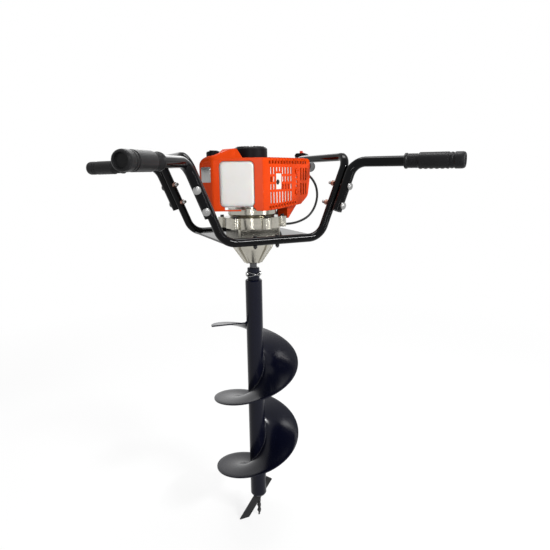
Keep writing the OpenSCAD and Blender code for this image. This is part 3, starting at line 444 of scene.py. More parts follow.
FINISHES: tuple[Finish, ...] = (
    Finish("frame_gloss_black", "frame_black", Texture.PAINT,
           (0.0012, 0.0012, 0.0018), (0.0007, 0.0007, 0.0011), rough=0.07, rough_span=0.04,
           specular=0.11, bump=0.012, wear_and_sheen=(0.012, 0.012, 0.012), wear_and_sheen_share=0.25),
    Finish("grip_rubber", "grip_rubber", Texture.RUBBER,
           (0.009, 0.009, 0.01), (0.006, 0.006, 0.0065), rough=0.4, rough_span=0.14,
           specular=0.12, bump=0.08, wear_and_sheen=(0.03, 0.03, 0.03), wear_and_sheen_share=0.3),
    Finish("bright_zinc", "zinc_steel", Texture.TURNED,
           (0.36, 0.36, 0.35), (0.22, 0.22, 0.225), rough=0.3, rough_span=0.2,
           metal=1.0, bump=0.06),
    Finish("yellow_zinc", "yellow_zinc", Texture.TURNED,
           (0.3, 0.17, 0.13), (0.13, 0.07, 0.055), rough=0.28, rough_span=0.2,
           metal=1.0, bump=0.06),
    Finish("black_oxide", "black_steel", Texture.PAINT,
           (0.014, 0.014, 0.015), (0.008, 0.008, 0.009), rough=0.34, rough_span=0.2,
           metal=0.1, specular=0.25, bump=0.08, wear_and_sheen=(0.14, 0.13, 0.12), wear_and_sheen_share=0.35),
    Finish("bit_enamel", "auger_black", Texture.PAINT,
           (0.0022, 0.0028, 0.009), (0.0016, 0.002, 0.007), rough=0.21, rough_span=0.07,
           specular=0.17, bump=0.01, wear_and_sheen=(0.03, 0.03, 0.035), wear_and_sheen_share=0.3),
    Finish("turned_steel", "machined_steel", Texture.TURNED,
           (0.1, 0.1, 0.105), (0.05, 0.05, 0.053), rough=0.32, rough_span=0.2,
           metal=1.0, bump=0.1),
    Finish("cast_alloy", "cast_aluminium", Texture.CAST,
           (0.48, 0.46, 0.4), (0.33, 0.315, 0.27), rough=0.16, rough_span=0.14,
           metal=0.95, bump=0.06, wear_and_sheen=(0.22, 0.2, 0.18), wear_and_sheen_share=0.3),
    Finish("muffler_sheet", "muffler_steel", Texture.TURNED,
           (0.78, 0.72, 0.67), (0.62, 0.56, 0.52), rough=0.42, rough_span=0.2,
           metal=0.3, bump=0.08),
    # Orange cover: its paler wear colour is a painted highlight on edges; on scratches it is wear.
    Finish("orange_moulding", "orange_cover", Texture.MOULDED,
           (0.58, 0.045, 0.002), (0.51, 0.037, 0.0015), rough=0.26, rough_span=0.1,
           specular=0.11, bump=0.03, wear_and_sheen=(0.9, 0.2, 0.05), wear_and_sheen_share=0.1, edge_round=0.0018),
    Finish("milky_tank", "tank_plastic", Texture.MOULDED,
           (0.62, 0.61, 0.59), (0.56, 0.545, 0.525), rough=0.34, rough_span=0.08,
           specular=0.4, subsurface=0.3, bump=0.04, edge_round=0.006),
    Finish("black_moulding", "black_plastic", Texture.MOULDED,
           (0.006, 0.0055, 0.0065), (0.004, 0.0035, 0.0045), rough=0.36, rough_span=0.14,
           specular=0.06, bump=0.08, wear_and_sheen=(0.04, 0.04, 0.04), wear_and_sheen_share=0.2, edge_round=0.001),
    Finish("grey_moulding", "grey_plastic", Texture.MOULDED,
           (0.11, 0.115, 0.125), (0.08, 0.085, 0.09), rough=0.42, rough_span=0.12,
           bump=0.08),
    Finish("red_moulding", "red_plastic", Texture.MOULDED,
           (0.75, 0.05, 0.014), (0.6, 0.036, 0.01), rough=0.32, rough_span=0.1,
           coat=0.2, bump=0.04),
    Finish("smooth_rubber", "black_rubber", Texture.RUBBER,
           (0.006, 0.006, 0.006), (0.004, 0.004, 0.004), rough=0.34, rough_span=0.1,
           specular=0.2, bump=0.05),
)


@dataclass
class Finishes:
    """All finishes by their material slot."""

    by_slot: dict[str, bpy.types.Material] = field(default_factory=dict)

    def build(self) -> None:
        """Makes every material once."""
        for finish in FINISHES:
            self.by_slot[finish.slot] = finish.build()

    def dress_nodes(self) -> None:
        """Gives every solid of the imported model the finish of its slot."""
        for part in frame["record"]["subparts"]:
            node = frame["nodes"][part["node"]]
            node.data.materials.clear()
            node.data.materials.append(self.by_slot[part["material_slot"]])

    def add_piece(self, mesh: bpy.types.Mesh, name: str, body: Body, slot: str) -> bpy.types.Object:
        """Puts a finished mesh into the scene on a body.

        Args:
            mesh: the mesh, in place.
            name: the piece's name.
            body: the body it rides on.
            slot: the material slot it takes its finish from.

        Returns:
            The new object.
        """
        piece = bpy.data.objects.new(name, mesh)
        bpy.context.scene.collection.objects.link(piece)
        mesh.materials.clear()
        mesh.materials.append(self.by_slot[slot])
        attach(piece, body.value)
        LOG.info("%s: %d faces on %s", name, len(mesh.polygons), body.value)
        return piece


@dataclass(frozen=True)
class EngineFrame:
    """The engine's own axes: u along the cylinder, v to the carburettor, z up; lengths in mm."""

    turn: float = math.radians(27.2)

    def way(self, u: float, v: float, z: float) -> Vector:
        """A direction of the engine as a direction of the machine."""
        c, s = math.cos(self.turn), math.sin(self.turn)
        return Vector((u * c - v * s, u * s + v * c, z))

    def point(self, u: float, v: float, z: float) -> Vector:
        """A place on the engine in metres."""
        return self.way(u, v, z) * MM

    def matrix(self, u: float, v: float, z: float, x_way: Vector, y_way: Vector) -> Matrix:
        """A frame at a place on the engine, with its X and Y along two directions."""
        axes = Matrix((x_way, y_way, x_way.cross(y_way))).transposed().to_4x4()
        return Matrix.Translation(self.point(u, v, z)) @ axes


@dataclass(frozen=True)
class HandleFrame:
    """One handle: s runs along it from its bend, x points down and y across; lengths in mm."""

    side_x: int
    side_y: int
    bend: Point = (219.2, 167.856, 1078.318)
    splay: float = math.radians(52.3)
    droop: float = math.radians(0.5)

    def along(self) -> Vector:
        """Direction from the bend to the grip's end.

        Returns:
            The direction.
        """
        level = math.cos(self.droop)
        x, y = math.cos(self.splay) * level, math.sin(self.splay) * level
        return Vector((x * self.side_x, y * self.side_y, -math.sin(self.droop)))

    def down(self) -> Vector:
        """Direction below the handle.

        Returns:
            The direction.
        """
        along = self.along()
        below = Vector((0.0, 0.0, -1.0))
        return (below - along * along.dot(below)).normalized()

    def point(self, x: float, y: float, s: float) -> Vector:
        """A place on the handle in metres."""
        start = Vector((self.bend[0] * self.side_x, self.bend[1] * self.side_y, self.bend[2]))
        return (start + self.down() * x + self.across() * y + self.along() * s) * MM

    def across(self) -> Vector:
        """Direction across the handle."""
        return self.along().cross(self.down())


HANDLES: tuple[HandleFrame, ...] = tuple(HandleFrame(x, y) for y in (-1, 1) for x in (-1, 1))
ENGINE = EngineFrame()
FRONT, BACK, LEVEL = ENGINE.way(0, -1, 0), ENGINE.way(0, 1, 0), ENGINE.way(1, 0, 0)
UP = Vector((0, 0, 1))


class Mesher:
    """Builds small meshes; each one is merged, turned outward and softened."""

    @staticmethod
    def lathe(profile: Profile, steps: int) -> bmesh.types.BMesh:
        """Turns a profile about Z.

        Args:
            profile: radius and height of each point in mm.
            steps: faces in one turn.

        Returns:
            The turned shape.
        """
        shape = bmesh.new()
        rings = []
        for radius, height in profile:
            ring = []
            for k in range(steps):
                a = 2 * math.pi * k / steps
                x, y = radius * math.cos(a), radius * math.sin(a)
                ring.append(shape.verts.new((x * MM, y * MM, height * MM)))
            rings.append(ring)
        for low, high in zip(rings, rings[1:]):
            for k in range(steps):
                n = (k + 1) % steps
                shape.faces.new((low[k], low[n], high[n], high[k]))
        return shape

    @staticmethod
    def prism(outline: Profile, z0: float, z1: float) -> bmesh.types.BMesh:
        """Raises a flat outline along Z.

        Args:
            outline: corners in mm.
            z0: lower height in mm.
            z1: upper height in mm.

        Returns:
            The prism.
        """
        shape = bmesh.new()
        low = [shape.verts.new((x * MM, y * MM, z0 * MM)) for x, y in outline]
        high = [shape.verts.new((x * MM, y * MM, z1 * MM)) for x, y in outline]
        shape.faces.new(low[::-1])
        shape.faces.new(high)
        for k in range(len(low)):
            n = (k + 1) % len(low)
            shape.faces.new((low[k], low[n], high[n], high[k]))
        return shape

    @staticmethod
    def loft(sections: Sequence[Sequence[Vector]]) -> bmesh.types.BMesh:
        """Joins closed sections of equal count into one closed shape.

        Args:
            sections: rings of points in metres.

        Returns:
            The shape.
        """
        shape = bmesh.new()
        rings = [[shape.verts.new(point) for point in ring] for ring in sections]
        shape.faces.new(rings[0])
        shape.faces.new(rings[-1][::-1])
        for low, high in zip(rings, rings[1:]):
            for k in range(len(low)):
                n = (k + 1) % len(low)
                shape.faces.new((low[n], low[k], high[k], high[n]))
        return shape

    @staticmethod
    def rounded(
        width: float, height: float, radius: float, steps: int = 6
    ) -> list[tuple[float, float]]:
        """A rectangle with round corners about the origin.

        Args:
            width: size along X in mm.
            height: size along Y in mm.
            radius: corner radius in mm.
            steps: segments in a corner.

        Returns:
            The outline.
        """
        points = []
        for k, (sx, sy) in enumerate(((1, 1), (-1, 1), (-1, -1), (1, -1))):
            cx, cy = sx * (width / 2 - radius), sy * (height / 2 - radius)
            for i in range(steps + 1):
                a = math.pi / 2 * (k + i / steps)
                points.append((cx + radius * math.cos(a), cy + radius * math.sin(a)))
        return points

    @staticmethod
    def join(*shapes: bmesh.types.BMesh) -> bmesh.types.BMesh:
        """Puts shapes into the first one.

        Args:
            shapes: the shapes.

        Returns:
            The first shape with the others in it.
        """
        first = shapes[0]
        for other in shapes[1:]:
            mesh = bpy.data.meshes.new("part")
            other.to_mesh(mesh)
            other.free()
            first.from_mesh(mesh)
            bpy.data.meshes.remove(mesh)
        return first

    @staticmethod
    def finish(
        shape: bmesh.types.BMesh, name: str, bevel: float = 0.0, place: Matrix | None = None
    ) -> bpy.types.Mesh:
        """Merges, softens and keeps a shape as a mesh.

        Args:
            shape: the shape, which is used up.
            name: the mesh's name.
            bevel: width of the softened edges in mm.
            place: where the shape goes.

        Returns:
            The mesh.
        """
        bmesh.ops.remove_doubles(shape, verts=shape.verts[:], dist=MERGE_REACH)
        bmesh.ops.dissolve_degenerate(shape, edges=shape.edges[:], dist=SLIVER)
        bmesh.ops.recalc_face_normals(shape, faces=shape.faces[:])
        if bevel > 0.0:
            edges = (edge for edge in shape.edges if edge.is_manifold)
            sharp = [edge for edge in edges if edge.calc_face_angle(0.0) > BEVEL_FROM]
            bmesh.ops.bevel(
                shape, geom=sharp, offset=bevel * MM, segments=2, profile=0.5, affect="EDGES"
            )
        if place is not None:
            bmesh.ops.transform(shape, matrix=place, verts=shape.verts[:])
        mesh = bpy.data.meshes.new(name)
        shape.to_mesh(mesh)
        shape.free()
        mesh.polygons.foreach_set("use_smooth", [True] * len(mesh.polygons))
        mesh.set_sharp_from_angle(angle=SHARP_FROM)
        return mesh


@dataclass(frozen=True)
class Spot:
    """A place for one copy: its Z faces one way, its X lies along another."""

    place: Vector
    facing: Vector
    along: Sequence[float] = (1.0, 0.0, 0.0)
    size: Point = (1.0, 1.0, 1.0)


@dataclass
class Scatter:
    """Copies of one small mesh on marked places, made by a node tree."""

    name: str
    body: Body
    slot: str
    spots: list[Spot]
    seed: int = 7
    spin: float = 0.0

    def _carrier(self) -> bpy.types.Mesh:
        """Points that hold the directions and sizes of the copies.

        Returns:
            The mesh of points.
        """
        carrier = bpy.data.meshes.new(self.name + "_spots")
        carrier.from_pydata([tuple(spot.place) for spot in self.spots], [], [])
        for key in ("facing", "along", "size"):
            rows = carrier.attributes.new(key, "FLOAT_VECTOR", "POINT")
            for row, spot in zip(rows.data, self.spots):
                row.vector = getattr(spot, key)
        return carrier

    def build(self, unit: bpy.types.Mesh, finishes: Finishes) -> None:
        """Makes the piece.

        Args:
            unit: the mesh that is copied, standing along Z.
            finishes: the built finishes.
        """
        model = bpy.data.objects.new(self.name + "_unit", unit)
        bpy.context.scene.collection.objects.link(model)
        shop = GeometryShop(self.name + "_tree", {
            "Unit": ("NodeSocketObject", model),
            "Spin": ("NodeSocketFloat", self.spin),
            "Seed": ("NodeSocketInt", self.seed),
        })
        vectors = {"data_type": "FLOAT_VECTOR"}
        facing, along, size = (
            shop.node("GeometryNodeInputNamedAttribute", vectors, {"Name": key})
            for key in ("facing", "along", "size")
        )
        upright = shop.node("FunctionNodeAlignRotationToVector", {"axis": "Z"}, {"Vector": facing})
        turn = shop.node(
            "FunctionNodeAlignRotationToVector",
            {"axis": "X", "pivot_axis": "Z"},
            {"Rotation": upright, "Vector": along},
        )
        shape = shop.node("GeometryNodeObjectInfo", {}, {"Object": shop.given("Unit")}, "Geometry")
        copies = shop.node(
            "GeometryNodeInstanceOnPoints",
            {},
            {"Points": shop.given("Geometry"), "Instance": shape, "Rotation": turn, "Scale": size},
        )
        chance = shop.node(
            "FunctionNodeRandomValue",
            {"data_type": "FLOAT"},
            {2: 0.0, 3: 1.0, "Seed": shop.given("Seed")},
            1,
        )
        angle = shop.vector(0.0, 0.0, chance * shop.given("Spin"))
        spin = {"Instances": copies, "Rotation": angle}
        turned = shop.node("GeometryNodeRotateInstances", {}, spin)
        mesh = shop.to_mesh(turned, finishes.by_slot[self.slot], self._carrier())
        bpy.data.objects.remove(model)
        finishes.add_piece(mesh, self.name, self.body, self.slot)


@dataclass
class Assembly(ABC):
    """A group of pieces that takes its looks from the shared finishes."""

    finishes: Finishes

    @abstractmethod
    def build(self) -> None:
        """Makes the group's pieces."""

    def _add(
        self,
        shape: bmesh.types.BMesh,
        name: str,
        slot: str,
        bevel: float = 0.0,
        place: Matrix | None = None,
        body: Body = Body.FRAME,
    ) -> bpy.types.Object:
        """Puts one shape into the scene as a piece."""
        mesh = Mesher.finish(shape, name, bevel, place)
        return self.finishes.add_piece(mesh, name, body, slot)

    def _copy(
        self,
        shape: bmesh.types.BMesh,
        name: str,
        slot: str,
        spots: list[Spot],
        bevel: float = 0.0,
        spin: float = 0.0,
    ) -> None:
        """Puts copies of one shape on marked places of the frame, as one piece."""
        unit = Mesher.finish(shape, name + "_unit", bevel)
        Scatter(name, Body.FRAME, slot, spots, spin=spin).build(unit, self.finishes)


@dataclass
class ScrewBit(Assembly):
    """The screw flight with its weld beads, in mm and degrees."""

    inner: float = 23.9
    outer: float = 125.0
    thick: float = 4.0
    pitch: float = 224.0
    first: float = 64.0
    last: float = 894.1
    marked_turn: float = 164.1
    marked_z: float = 182.0
    sway: float = 12.0
    sway_turn: float = 15.0
    along: int = 280
    across: int = 9
    bead: float = 3.0
    bead_out: float = 0.6
    bead_along: int = 900
    fine_ripple: tuple[float, float] = (46.0, 0.16)
    slow_ripple: tuple[float, float] = (7.3, 0.1)
    end_taper: float = 400.0
    bead_lifts: tuple[tuple[str, float], ...] = (("weld_above", 0.6), ("weld_below", -4.6))
    slot: str = "auger_black"

    def _inputs(self) -> dict[str, tuple[str, Any]]:
        """The sizes as inputs of a tree, in metres and radians.

        Returns:
            Input name to its socket type and value.
        """
        number = "NodeSocketFloat"
        return {
            "Inner": (number, self.inner * MM),
            "Outer": (number, self.outer * MM),
            "Thickness": (number, self.thick * MM),
            "Pitch": (number, self.pitch * MM),
            "First": (number, math.radians(self.first)),
            "Last": (number, math.radians(self.last)),
            "Marked turn": (number, math.radians(self.marked_turn)),
            "Marked height": (number, self.marked_z * MM),
            "Sway": (number, self.sway * MM),
            "Sway turn": (number, math.radians(self.sway_turn)),
            "Bead": (number, self.bead * MM),
        }

    def build(self) -> None:
        """Makes the flight and its beads."""
        self._flight()
        for name, lift in self.bead_lifts:
            self._weld(name, lift)

    @staticmethod
    def _angle(shop: GeometryShop, share: Wire) -> Wire:
        """Angle about the bit at a share of the flight's length."""
        return shop.given("First") + share * (shop.given("Last") - shop.given("First"))

    @staticmethod
    def _rise(shop: GeometryShop, angle: Wire) -> Wire:
        """Height of the flight's upper face.

        Args:
            shop: the tree builder.
            angle: the angle about the bit.

        Returns:
            The height.
        """
        turns = (angle - shop.given("Marked turn")) / (2 * math.pi)
        sway = (angle + shop.given("Sway turn")).sin() * shop.given("Sway")
        return shop.given("Marked height") + turns * shop.given("Pitch") + sway

    @staticmethod
    def _wind(shop: GeometryShop, grid: Wire, angle: Wire, radius: Wire, height: Wire) -> Wire:
        """Winds a flat grid round the bit."""
        spot = shop.vector(radius * angle.cos(), radius * angle.sin(), height)
        return shop.node("GeometryNodeSetPosition", {}, {"Geometry": grid, "Position": spot})

    def _solid(self, shop: GeometryShop, shape: Wire, name: str) -> bmesh.types.BMesh:
        """Runs a tree and opens its result for softening.

        Args:
            shop: the tree builder.
            shape: the tree's last geometry.
            name: the piece's name.

        Returns:
            The shape.
        """
        seed = bpy.data.meshes.new(name + "_seed")
        solid = bmesh.new()
        solid.from_mesh(shop.to_mesh(shape, self.finishes.by_slot[self.slot], seed))
        return solid

    def _flight(self) -> None:
        """A helical plate from a flat grid."""
        shop = GeometryShop("flight_tree", self._inputs())
        grid, t, w = shop.strip(self.along, self.across)
        angle = self._angle(shop, t)
        radius = shop.given("Inner") + w * (shop.given("Outer") - shop.given("Inner"))
        top = self._wind(shop, grid, angle, radius, self._rise(shop, angle))
        drop = shop.vector(0.0, 0.0, 0.0 - shop.given("Thickness"))
        skirt = shop.node(
            "GeometryNodeExtrudeMesh",
            {"mode": "FACES"},
            {"Mesh": top, "Offset": drop, "Offset Scale": 1.0, "Individual": False},
        )
        lower = shop.node("GeometryNodeFlipFaces", {}, {"Mesh": skirt})
        plate = shop.node("GeometryNodeJoinGeometry", {}, {0: [top, lower]})
        solid = self._solid(shop, plate, "screw_flight")
        piece = self._add(solid, "screw_flight", self.slot, 0.7, body=Body.BIT)
        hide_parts("auger_flight")

    def _weld(self, name: str, lift: float) -> None:
        """A rippled bead along the flight's root.

        Args:
            name: the piece's name.
            lift: height above the flight's upper face in mm.
        """
        shop = GeometryShop(name + "_tree", self._inputs())
        grid, t, w = shop.strip(self.bead_along, self.across)
        angle = self._angle(shop, t)
        (fine, fine_depth), (slow, slow_depth) = self.fine_ripple, self.slow_ripple
        ripple = (angle * fine).sin() * fine_depth + (angle * slow).sin() * slow_depth + 1.0
        ends = ((t * (1.0 - t)) * self.end_taper).at_most(1.0)
        section = w * (2 * math.pi)
        size = shop.given("Bead") * ripple * ends
        radius = shop.given("Inner") + self.bead_out * MM + size * section.cos()
        height = self._rise(shop, angle) + lift * MM + size * section.sin()
        bead = self._wind(shop, grid, angle, radius, height)
        self._add(self._solid(shop, bead, name), name, self.slot, body=Body.BIT)


@dataclass
class ThrottleCable(Assembly):
    """The cable that hangs from the throttle housing to the carburettor."""

    radius: float = 0.004
    steps: int = 4
    start: Point = (21.02, -8.0, 112.0)
    lead_in: float = 12.02
    route: tuple[Point, ...] = (
        (0.318, 0.249, 1.036),
        (0.335, 0.247, 1.008),
        (0.339, 0.245, 0.972),
        (0.327, 0.243, 0.935),
        (0.302, 0.240, 0.907),
        (0.262, 0.228, 0.892),
        (0.214, 0.206, 0.888),
        (0.170, 0.190, 0.892),
        (0.136, 0.172, 0.903),
        (0.110, 0.154, 0.920),
        (0.090, 0.134, 0.944),
        (0.064, 0.111, 0.972),
        (0.051, 0.101, 0.992),
        (0.049, 0.0994, 1.0049),
        (0.048, 0.099, 1.014),
    )

    def line(self) -> list[Vector]:
        """Points of the smooth curve through the route.

        Returns:
            The points, from the throttle housing on.
        """
        rear = HandleFrame(1, 1)
        x, y, s = self.start
        ring = [rear.point(x - self.lead_in, y, s), rear.point(x, y, s)]
        ring += [Vector(p) for p in self.route]
        points: list[Vector] = []
        for i in range(1, len(ring) - 2):
            a, b, c, d = ring[i - 1 : i + 3]
            for k in range(self.steps):
                t = k / self.steps
                curve = 2 * b + (c - a) * t + (2 * a - 5 * b + 4 * c - d) * t * t
                points.append(0.5 * (curve + (3 * b - a - 3 * c + d) * t * t * t))
        points.append(ring[-2])
        return points

    def build(self) -> None:
        points = self.line()
        curve = bpy.data.curves.new("throttle_cable_line", "CURVE")
        curve.dimensions = "3D"
        spline = curve.splines.new("POLY")
        spline.points.add(len(points) - 1)
        for spot, p in zip(spline.points, points):
            spot.co = (*p, 1.0)
        spline.use_smooth = True
        curve.bevel_depth = self.radius
        curve.bevel_resolution = 4
        curve.use_fill_caps = True
        curve.materials.append(self.finishes.by_slot["black_rubber"])
        piece = bpy.data.objects.new("throttle_cable_run", curve)
        bpy.context.scene.collection.objects.link(piece)
        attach(piece, Body.FRAME.value)
        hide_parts("throttle_cable")
        length = sum((q - p).length for p, q in zip(points, points[1:]))
        LOG.info("throttle cable: %.3f m", length)
        self._sleeve("cable_boot_upper", points[0], points[3])
        self._sleeve("cable_boot_lower", points[-1], points[-4])

    def _sleeve(self, name: str, foot: Vector, towards: Vector) -> None:
        """A ribbed tapered sleeve on a cable end.

        Args:
            name: the piece's name.
            foot: where it sits.
            towards: the point that it runs to.
        """
        profile: list[tuple[float, float]] = [(4.1, 0.0), (6.4, 0.0)]
        for k in range(5):
            low, rim = 2.0 + 3.2 * k, 6.3 - 0.36 * k
            neck = rim - 0.7
            profile += [(rim, low), (rim, low + 1.7), (neck, low + 2.1), (neck, low + 2.8)]
        profile += [(4.4, 19.0), (4.05, 19.2)]
        turn = (towards - foot).to_track_quat("Z", "Y").to_matrix().to_4x4()
        place = Matrix.Translation(foot) @ turn
        self._add(Mesher.lathe(profile, 28), name, "black_rubber", 0.2, place)


@dataclass
class TankCowl(Assembly):
    """Raised rim on the tank guard: round at the back of its end, rising to the starter; in mm."""

    end_u: float = -125.0
    corner_v: float = 22.69
    window_way: tuple[float, float] = (0.628, -0.778)
    shoulder: float = 1090.0
    end_rim: tuple[Point, ...] = (
        (69.2, 1071.0, 980.0),
        (68.4, 1079.0, 980.0),
        (66.4, 1083.4, 980.0),
        (63.0, 1086.9, 980.0),
        (58.5, 1090.3, 1070.0),
        (52.8, 1093.0, 1080.0),
        (44.0, 1095.9, 1080.0),
        (34.7, 1097.2, 1080.0),
        (28.0, 1097.6, 1080.0),
    )
    window_rim: tuple[Point, ...] = (
        (6.0, 1097.6, 1100.4),
        (14.0, 1099.6, 1103.4),
        (23.0, 1102.4, 1106.8),
        (33.0, 1105.6, 1110.6),
        (46.0, 1110.8, 1114.6),
        (59.0, 1115.6, 1116.6),
    )

    def build(self) -> None:
        """Makes the rim."""
        sections = [self._end(*row) for row in self.end_rim]
        sections += [self._window(*row) for row in self.window_rim]
        self._add(Mesher.loft(sections), "tank_cowl", "orange_cover", 0.8)

    def _end(self, v: float, top: float, foot: float) -> list[Vector]:
        """Section across the guard's end wall.

        Args:
            v: place along the wall.
            top: height of its crest.
            foot: height of its lower edge.

        Returns:
            The section's points.
        """
        outer = ((-0.3, foot), (-0.2, top - 2.2), (0.6, top - 0.6))
        rows = (*outer, (2.0, top), (4.6, top), (4.6, foot))
        return [ENGINE.point(self.end_u + depth, v, z) for depth, z in rows]

    def _window(self, along: float, top: float, ridge: float) -> list[Vector]:
        """Section across the slope above the tank's window.

        Args:
            along: place along the window's edge.
            top: height of the slope's front edge.
            ridge: height of its back.

        Returns:
            The section's points.
        """
        du, dv = self.window_way
        back = (top - self.shoulder) / 3.0
        rows = (
            (-0.4, self.shoulder - 4.0),
            (back * 0.5 - 0.6, (top + self.shoulder) / 2),
            (back - 0.5, top),
            (back + 2.4, top + (ridge - top) * 0.75),
            (back + 6.0, ridge),
            (back + 6.0, self.shoulder - 2.0),
        )
        u, v = self.end_u + du * along, self.corner_v + dv * along
        return [ENGINE.point(u - dv * depth, v + du * depth, z) for depth, z in rows]


@dataclass
class CoverFittings(Assembly):
    """Ribs, shield, outlet and plates of the engine's covers, in mm."""

    front: float = -77.0
    shield_depth: float = 1.0
    slot_pitch: float = 12.4
    slot_start: float = -8.4
    slot_width: float = 5.0
    rib_start: float = -7.8
    upper_ribs: int = 13
    lower_ribs: int = 9
    crank_z: float = 1013.0
    cover_top: float = 1092.0
    boss_u: float = 104.5
    boss_v: float = -79.0
    boss_heights: tuple[float, float] = (1001.0, 1057.0)
    outlet: tuple[float, float] = (21.2, 1029.0)
    outlet_depth: float = 0.7
    window: tuple[float, float, float, float] = (13.2, 35.8, 1010.2, 1051.8)
    throat: float = 7.1
    plate_at: Point = (-125.0, 45.0, 1050.5)
    cap_at: Point = (-99.0, 40.0, 1109.0)
    slats_at: Point = (68.0, 121.0, 993.0)
    end_louvres_at: Point = (168.0, -14.0, 1049.0)
    back_louvres_at: Point = (122.0, 44.0, 1016.0)
    starter_top: float = 1122.0
    ray_reach: float = 28.0
    rays: int = 24

    def build(self) -> None:
        """Makes the fittings of the covers."""
        self._shield()
        self._ribs()
        self._bosses()
        self._outlet()
        self._bare_plate()
        self._cap_bar()
        self._slats()
        self._starter_top()

    def _shield(self) -> None:
        """Raised ribs of the muffler's pale shield that stand in the guard's slots."""
        foot, low_row, high_row, top = (-39.0, -9.0), (-3.0, 11.0), (17.0, 31.0), (37.0, 55.0)
        short_top = (44.0, 55.0)
        columns = (
            (0.44, (foot, low_row, top)),
            (0.56, (foot, low_row, high_row, top)),
            (0.86, (foot, short_top)),
            (0.86, (foot, short_top)),
            (0.8, (foot, high_row, top)),
            (0.54, (foot, high_row, top)),
            (0.54, (foot, high_row, top)),
            (0.6, (foot, low_row, high_row, top)),
        )
        spots = []
        for k, (width, rows) in enumerate(columns):
            for low, high in rows:
                u = self.slot_start + self.slot_pitch * k
                middle = self.crank_z + (low + high) / 2
                place = ENGINE.point(u, self.front + self.shield_depth, middle)
                spots.append(Spot(place, FRONT, LEVEL, (width, high - low - 0.3, 1.0)))
        rib = Mesher.prism(Mesher.rounded(self.slot_width, 1.0, 0.2, 2), -2.9, 0.0)
        self._copy(rib, "shield_ribs", "muffler_steel", spots, 0.08)

    def _lower_edge(self, u: float) -> float:
        """Height of the muffler guard's lower edge, which bends at u = 30."""
        drop = -57.0 + 3.0 * (u + 43.0) / 73.0 if u < 30.0 else -54.0 + 7.0 * (u - 30.0) / 94.0
        return self.crank_z + drop

    def _ribs(self) -> None:
        """Ribs that fold over the upper and lower edge of the muffler guard."""
        outline = [(-0.3, -16.0), (0.5, -16.0), (1.5, -14.5), (1.5, -3.0)]
        for a in (0.3, 0.62, 0.95, 1.27):
            outline.append((-3.0 + 4.5 * math.cos(a), -3.0 + 4.5 * math.sin(a)))
        outline += [(-3.0, 1.5), (-14.5, 1.5), (-16.0, 0.5), (-16.0, -0.3), (-0.3, -0.3)]
        side = ENGINE.way(-1, 0, 0)
        spots = []
        for k in range(self.upper_ribs):
            u = self.rib_start + self.slot_pitch * k
            spots.append(Spot(ENGINE.point(u, self.front, self.cover_top), side, FRONT))
        for k in range(self.lower_ribs):
            u = self.rib_start + self.slot_pitch * k
            spots.append(Spot(ENGINE.point(u, self.front, self._lower_edge(u)), -side, FRONT))
        self._copy(Mesher.prism(outline, -1.7, 1.7), "guard_ribs", "orange_cover", spots, 0.5)

    def _bosses(self) -> None:
        """Recessed caps on the guard's screw bosses."""
        spots = [Spot(ENGINE.point(self.boss_u, self.boss_v, z), FRONT) for z in self.boss_heights]
        profile = [(0.0, -0.4), (4.6, -0.4), (5.2, 0.2), (5.6, 1.4)]
        profile += [(7.6, 1.4), (8.3, 0.7), (8.3, -2.0), (0.0, -2.0)]
        self._copy(Mesher.lathe(profile, 32), "boss_caps", "orange_cover", spots, 0.2)

    def _outlet(self) -> None:
        """Pale outlet plate of the muffler in the guard's window, with a black cup as its throat:
        black for soot and as painted shade of the outlet's depth.
        """
        u, z = self.outlet
        left, right, low, high = self.window
        r = self.throat
        rim, hole = [], []
        for k in range(72):
            c, q = math.cos(math.radians(5 * k)), math.sin(math.radians(5 * k))
            aside = (right - u if c > 0 else u - left) / max(abs(c), 0.01)
            upward = (high - z if q > 0 else z - low) / max(abs(q), 0.01)
            reach = min(aside, upward)
            rim.append((reach * c, reach * q))
            hole.append((r * c, r * q))
        place = ENGINE.matrix(u, self.front + self.outlet_depth, z, LEVEL, UP)
        rings = ((rim, -3.0), (rim, 0.0), (hole, 0.0), (hole, -3.0))
        sections = [[place @ (Vector((x, y, h)) * MM) for x, y in ring] for ring, h in rings]
        self._add(Mesher.loft(sections), "outlet_plate", "muffler_steel", 0.3)
        # The black cup stands for the dark inside of the outlet: soot, and painted shade where the
        # hole runs deep.
        cup = [(r - 0.1, -0.4), (r + 0.4, -0.4), (r + 0.4, -2.8)]
        cup += [(r - 0.3, -2.8), (r - 0.4, -2.2), (0.0, -2.2)]
        self._add(Mesher.lathe(cup, 36), "outlet_throat", "black_steel", place=place)

    def _bare_plate(self) -> None:
        """An empty metal plate on the end of the tank guard."""
        base = Mesher.prism(Mesher.rounded(34, 39, 2.0), 0.0, 0.5)
        rim = Mesher.prism(Mesher.rounded(31, 36, 1.5), 0.45, 0.8)
        place = ENGINE.matrix(*self.plate_at, FRONT, UP)
        self._add(Mesher.join(base, rim), "bare_plate", "zinc_steel", 0.2, place)

    def _cap_bar(self) -> None:
        """Finger bar across the fuel cap."""
        bar = Mesher.prism(Mesher.rounded(27, 6, 2.5), 0.0, 3.2)
        disc = Mesher.lathe([(0.0, 0.0), (14.5, 0.0), (14.5, 0.8), (13.6, 1.2), (0.0, 1.2)], 40)
        place = ENGINE.matrix(*self.cap_at, LEVEL, BACK)
        shape = Mesher.join(bar, disc)
        self._add(shape, "fuel_cap_bar", "black_plastic", 0.5, place, Body.TANK_CAP)

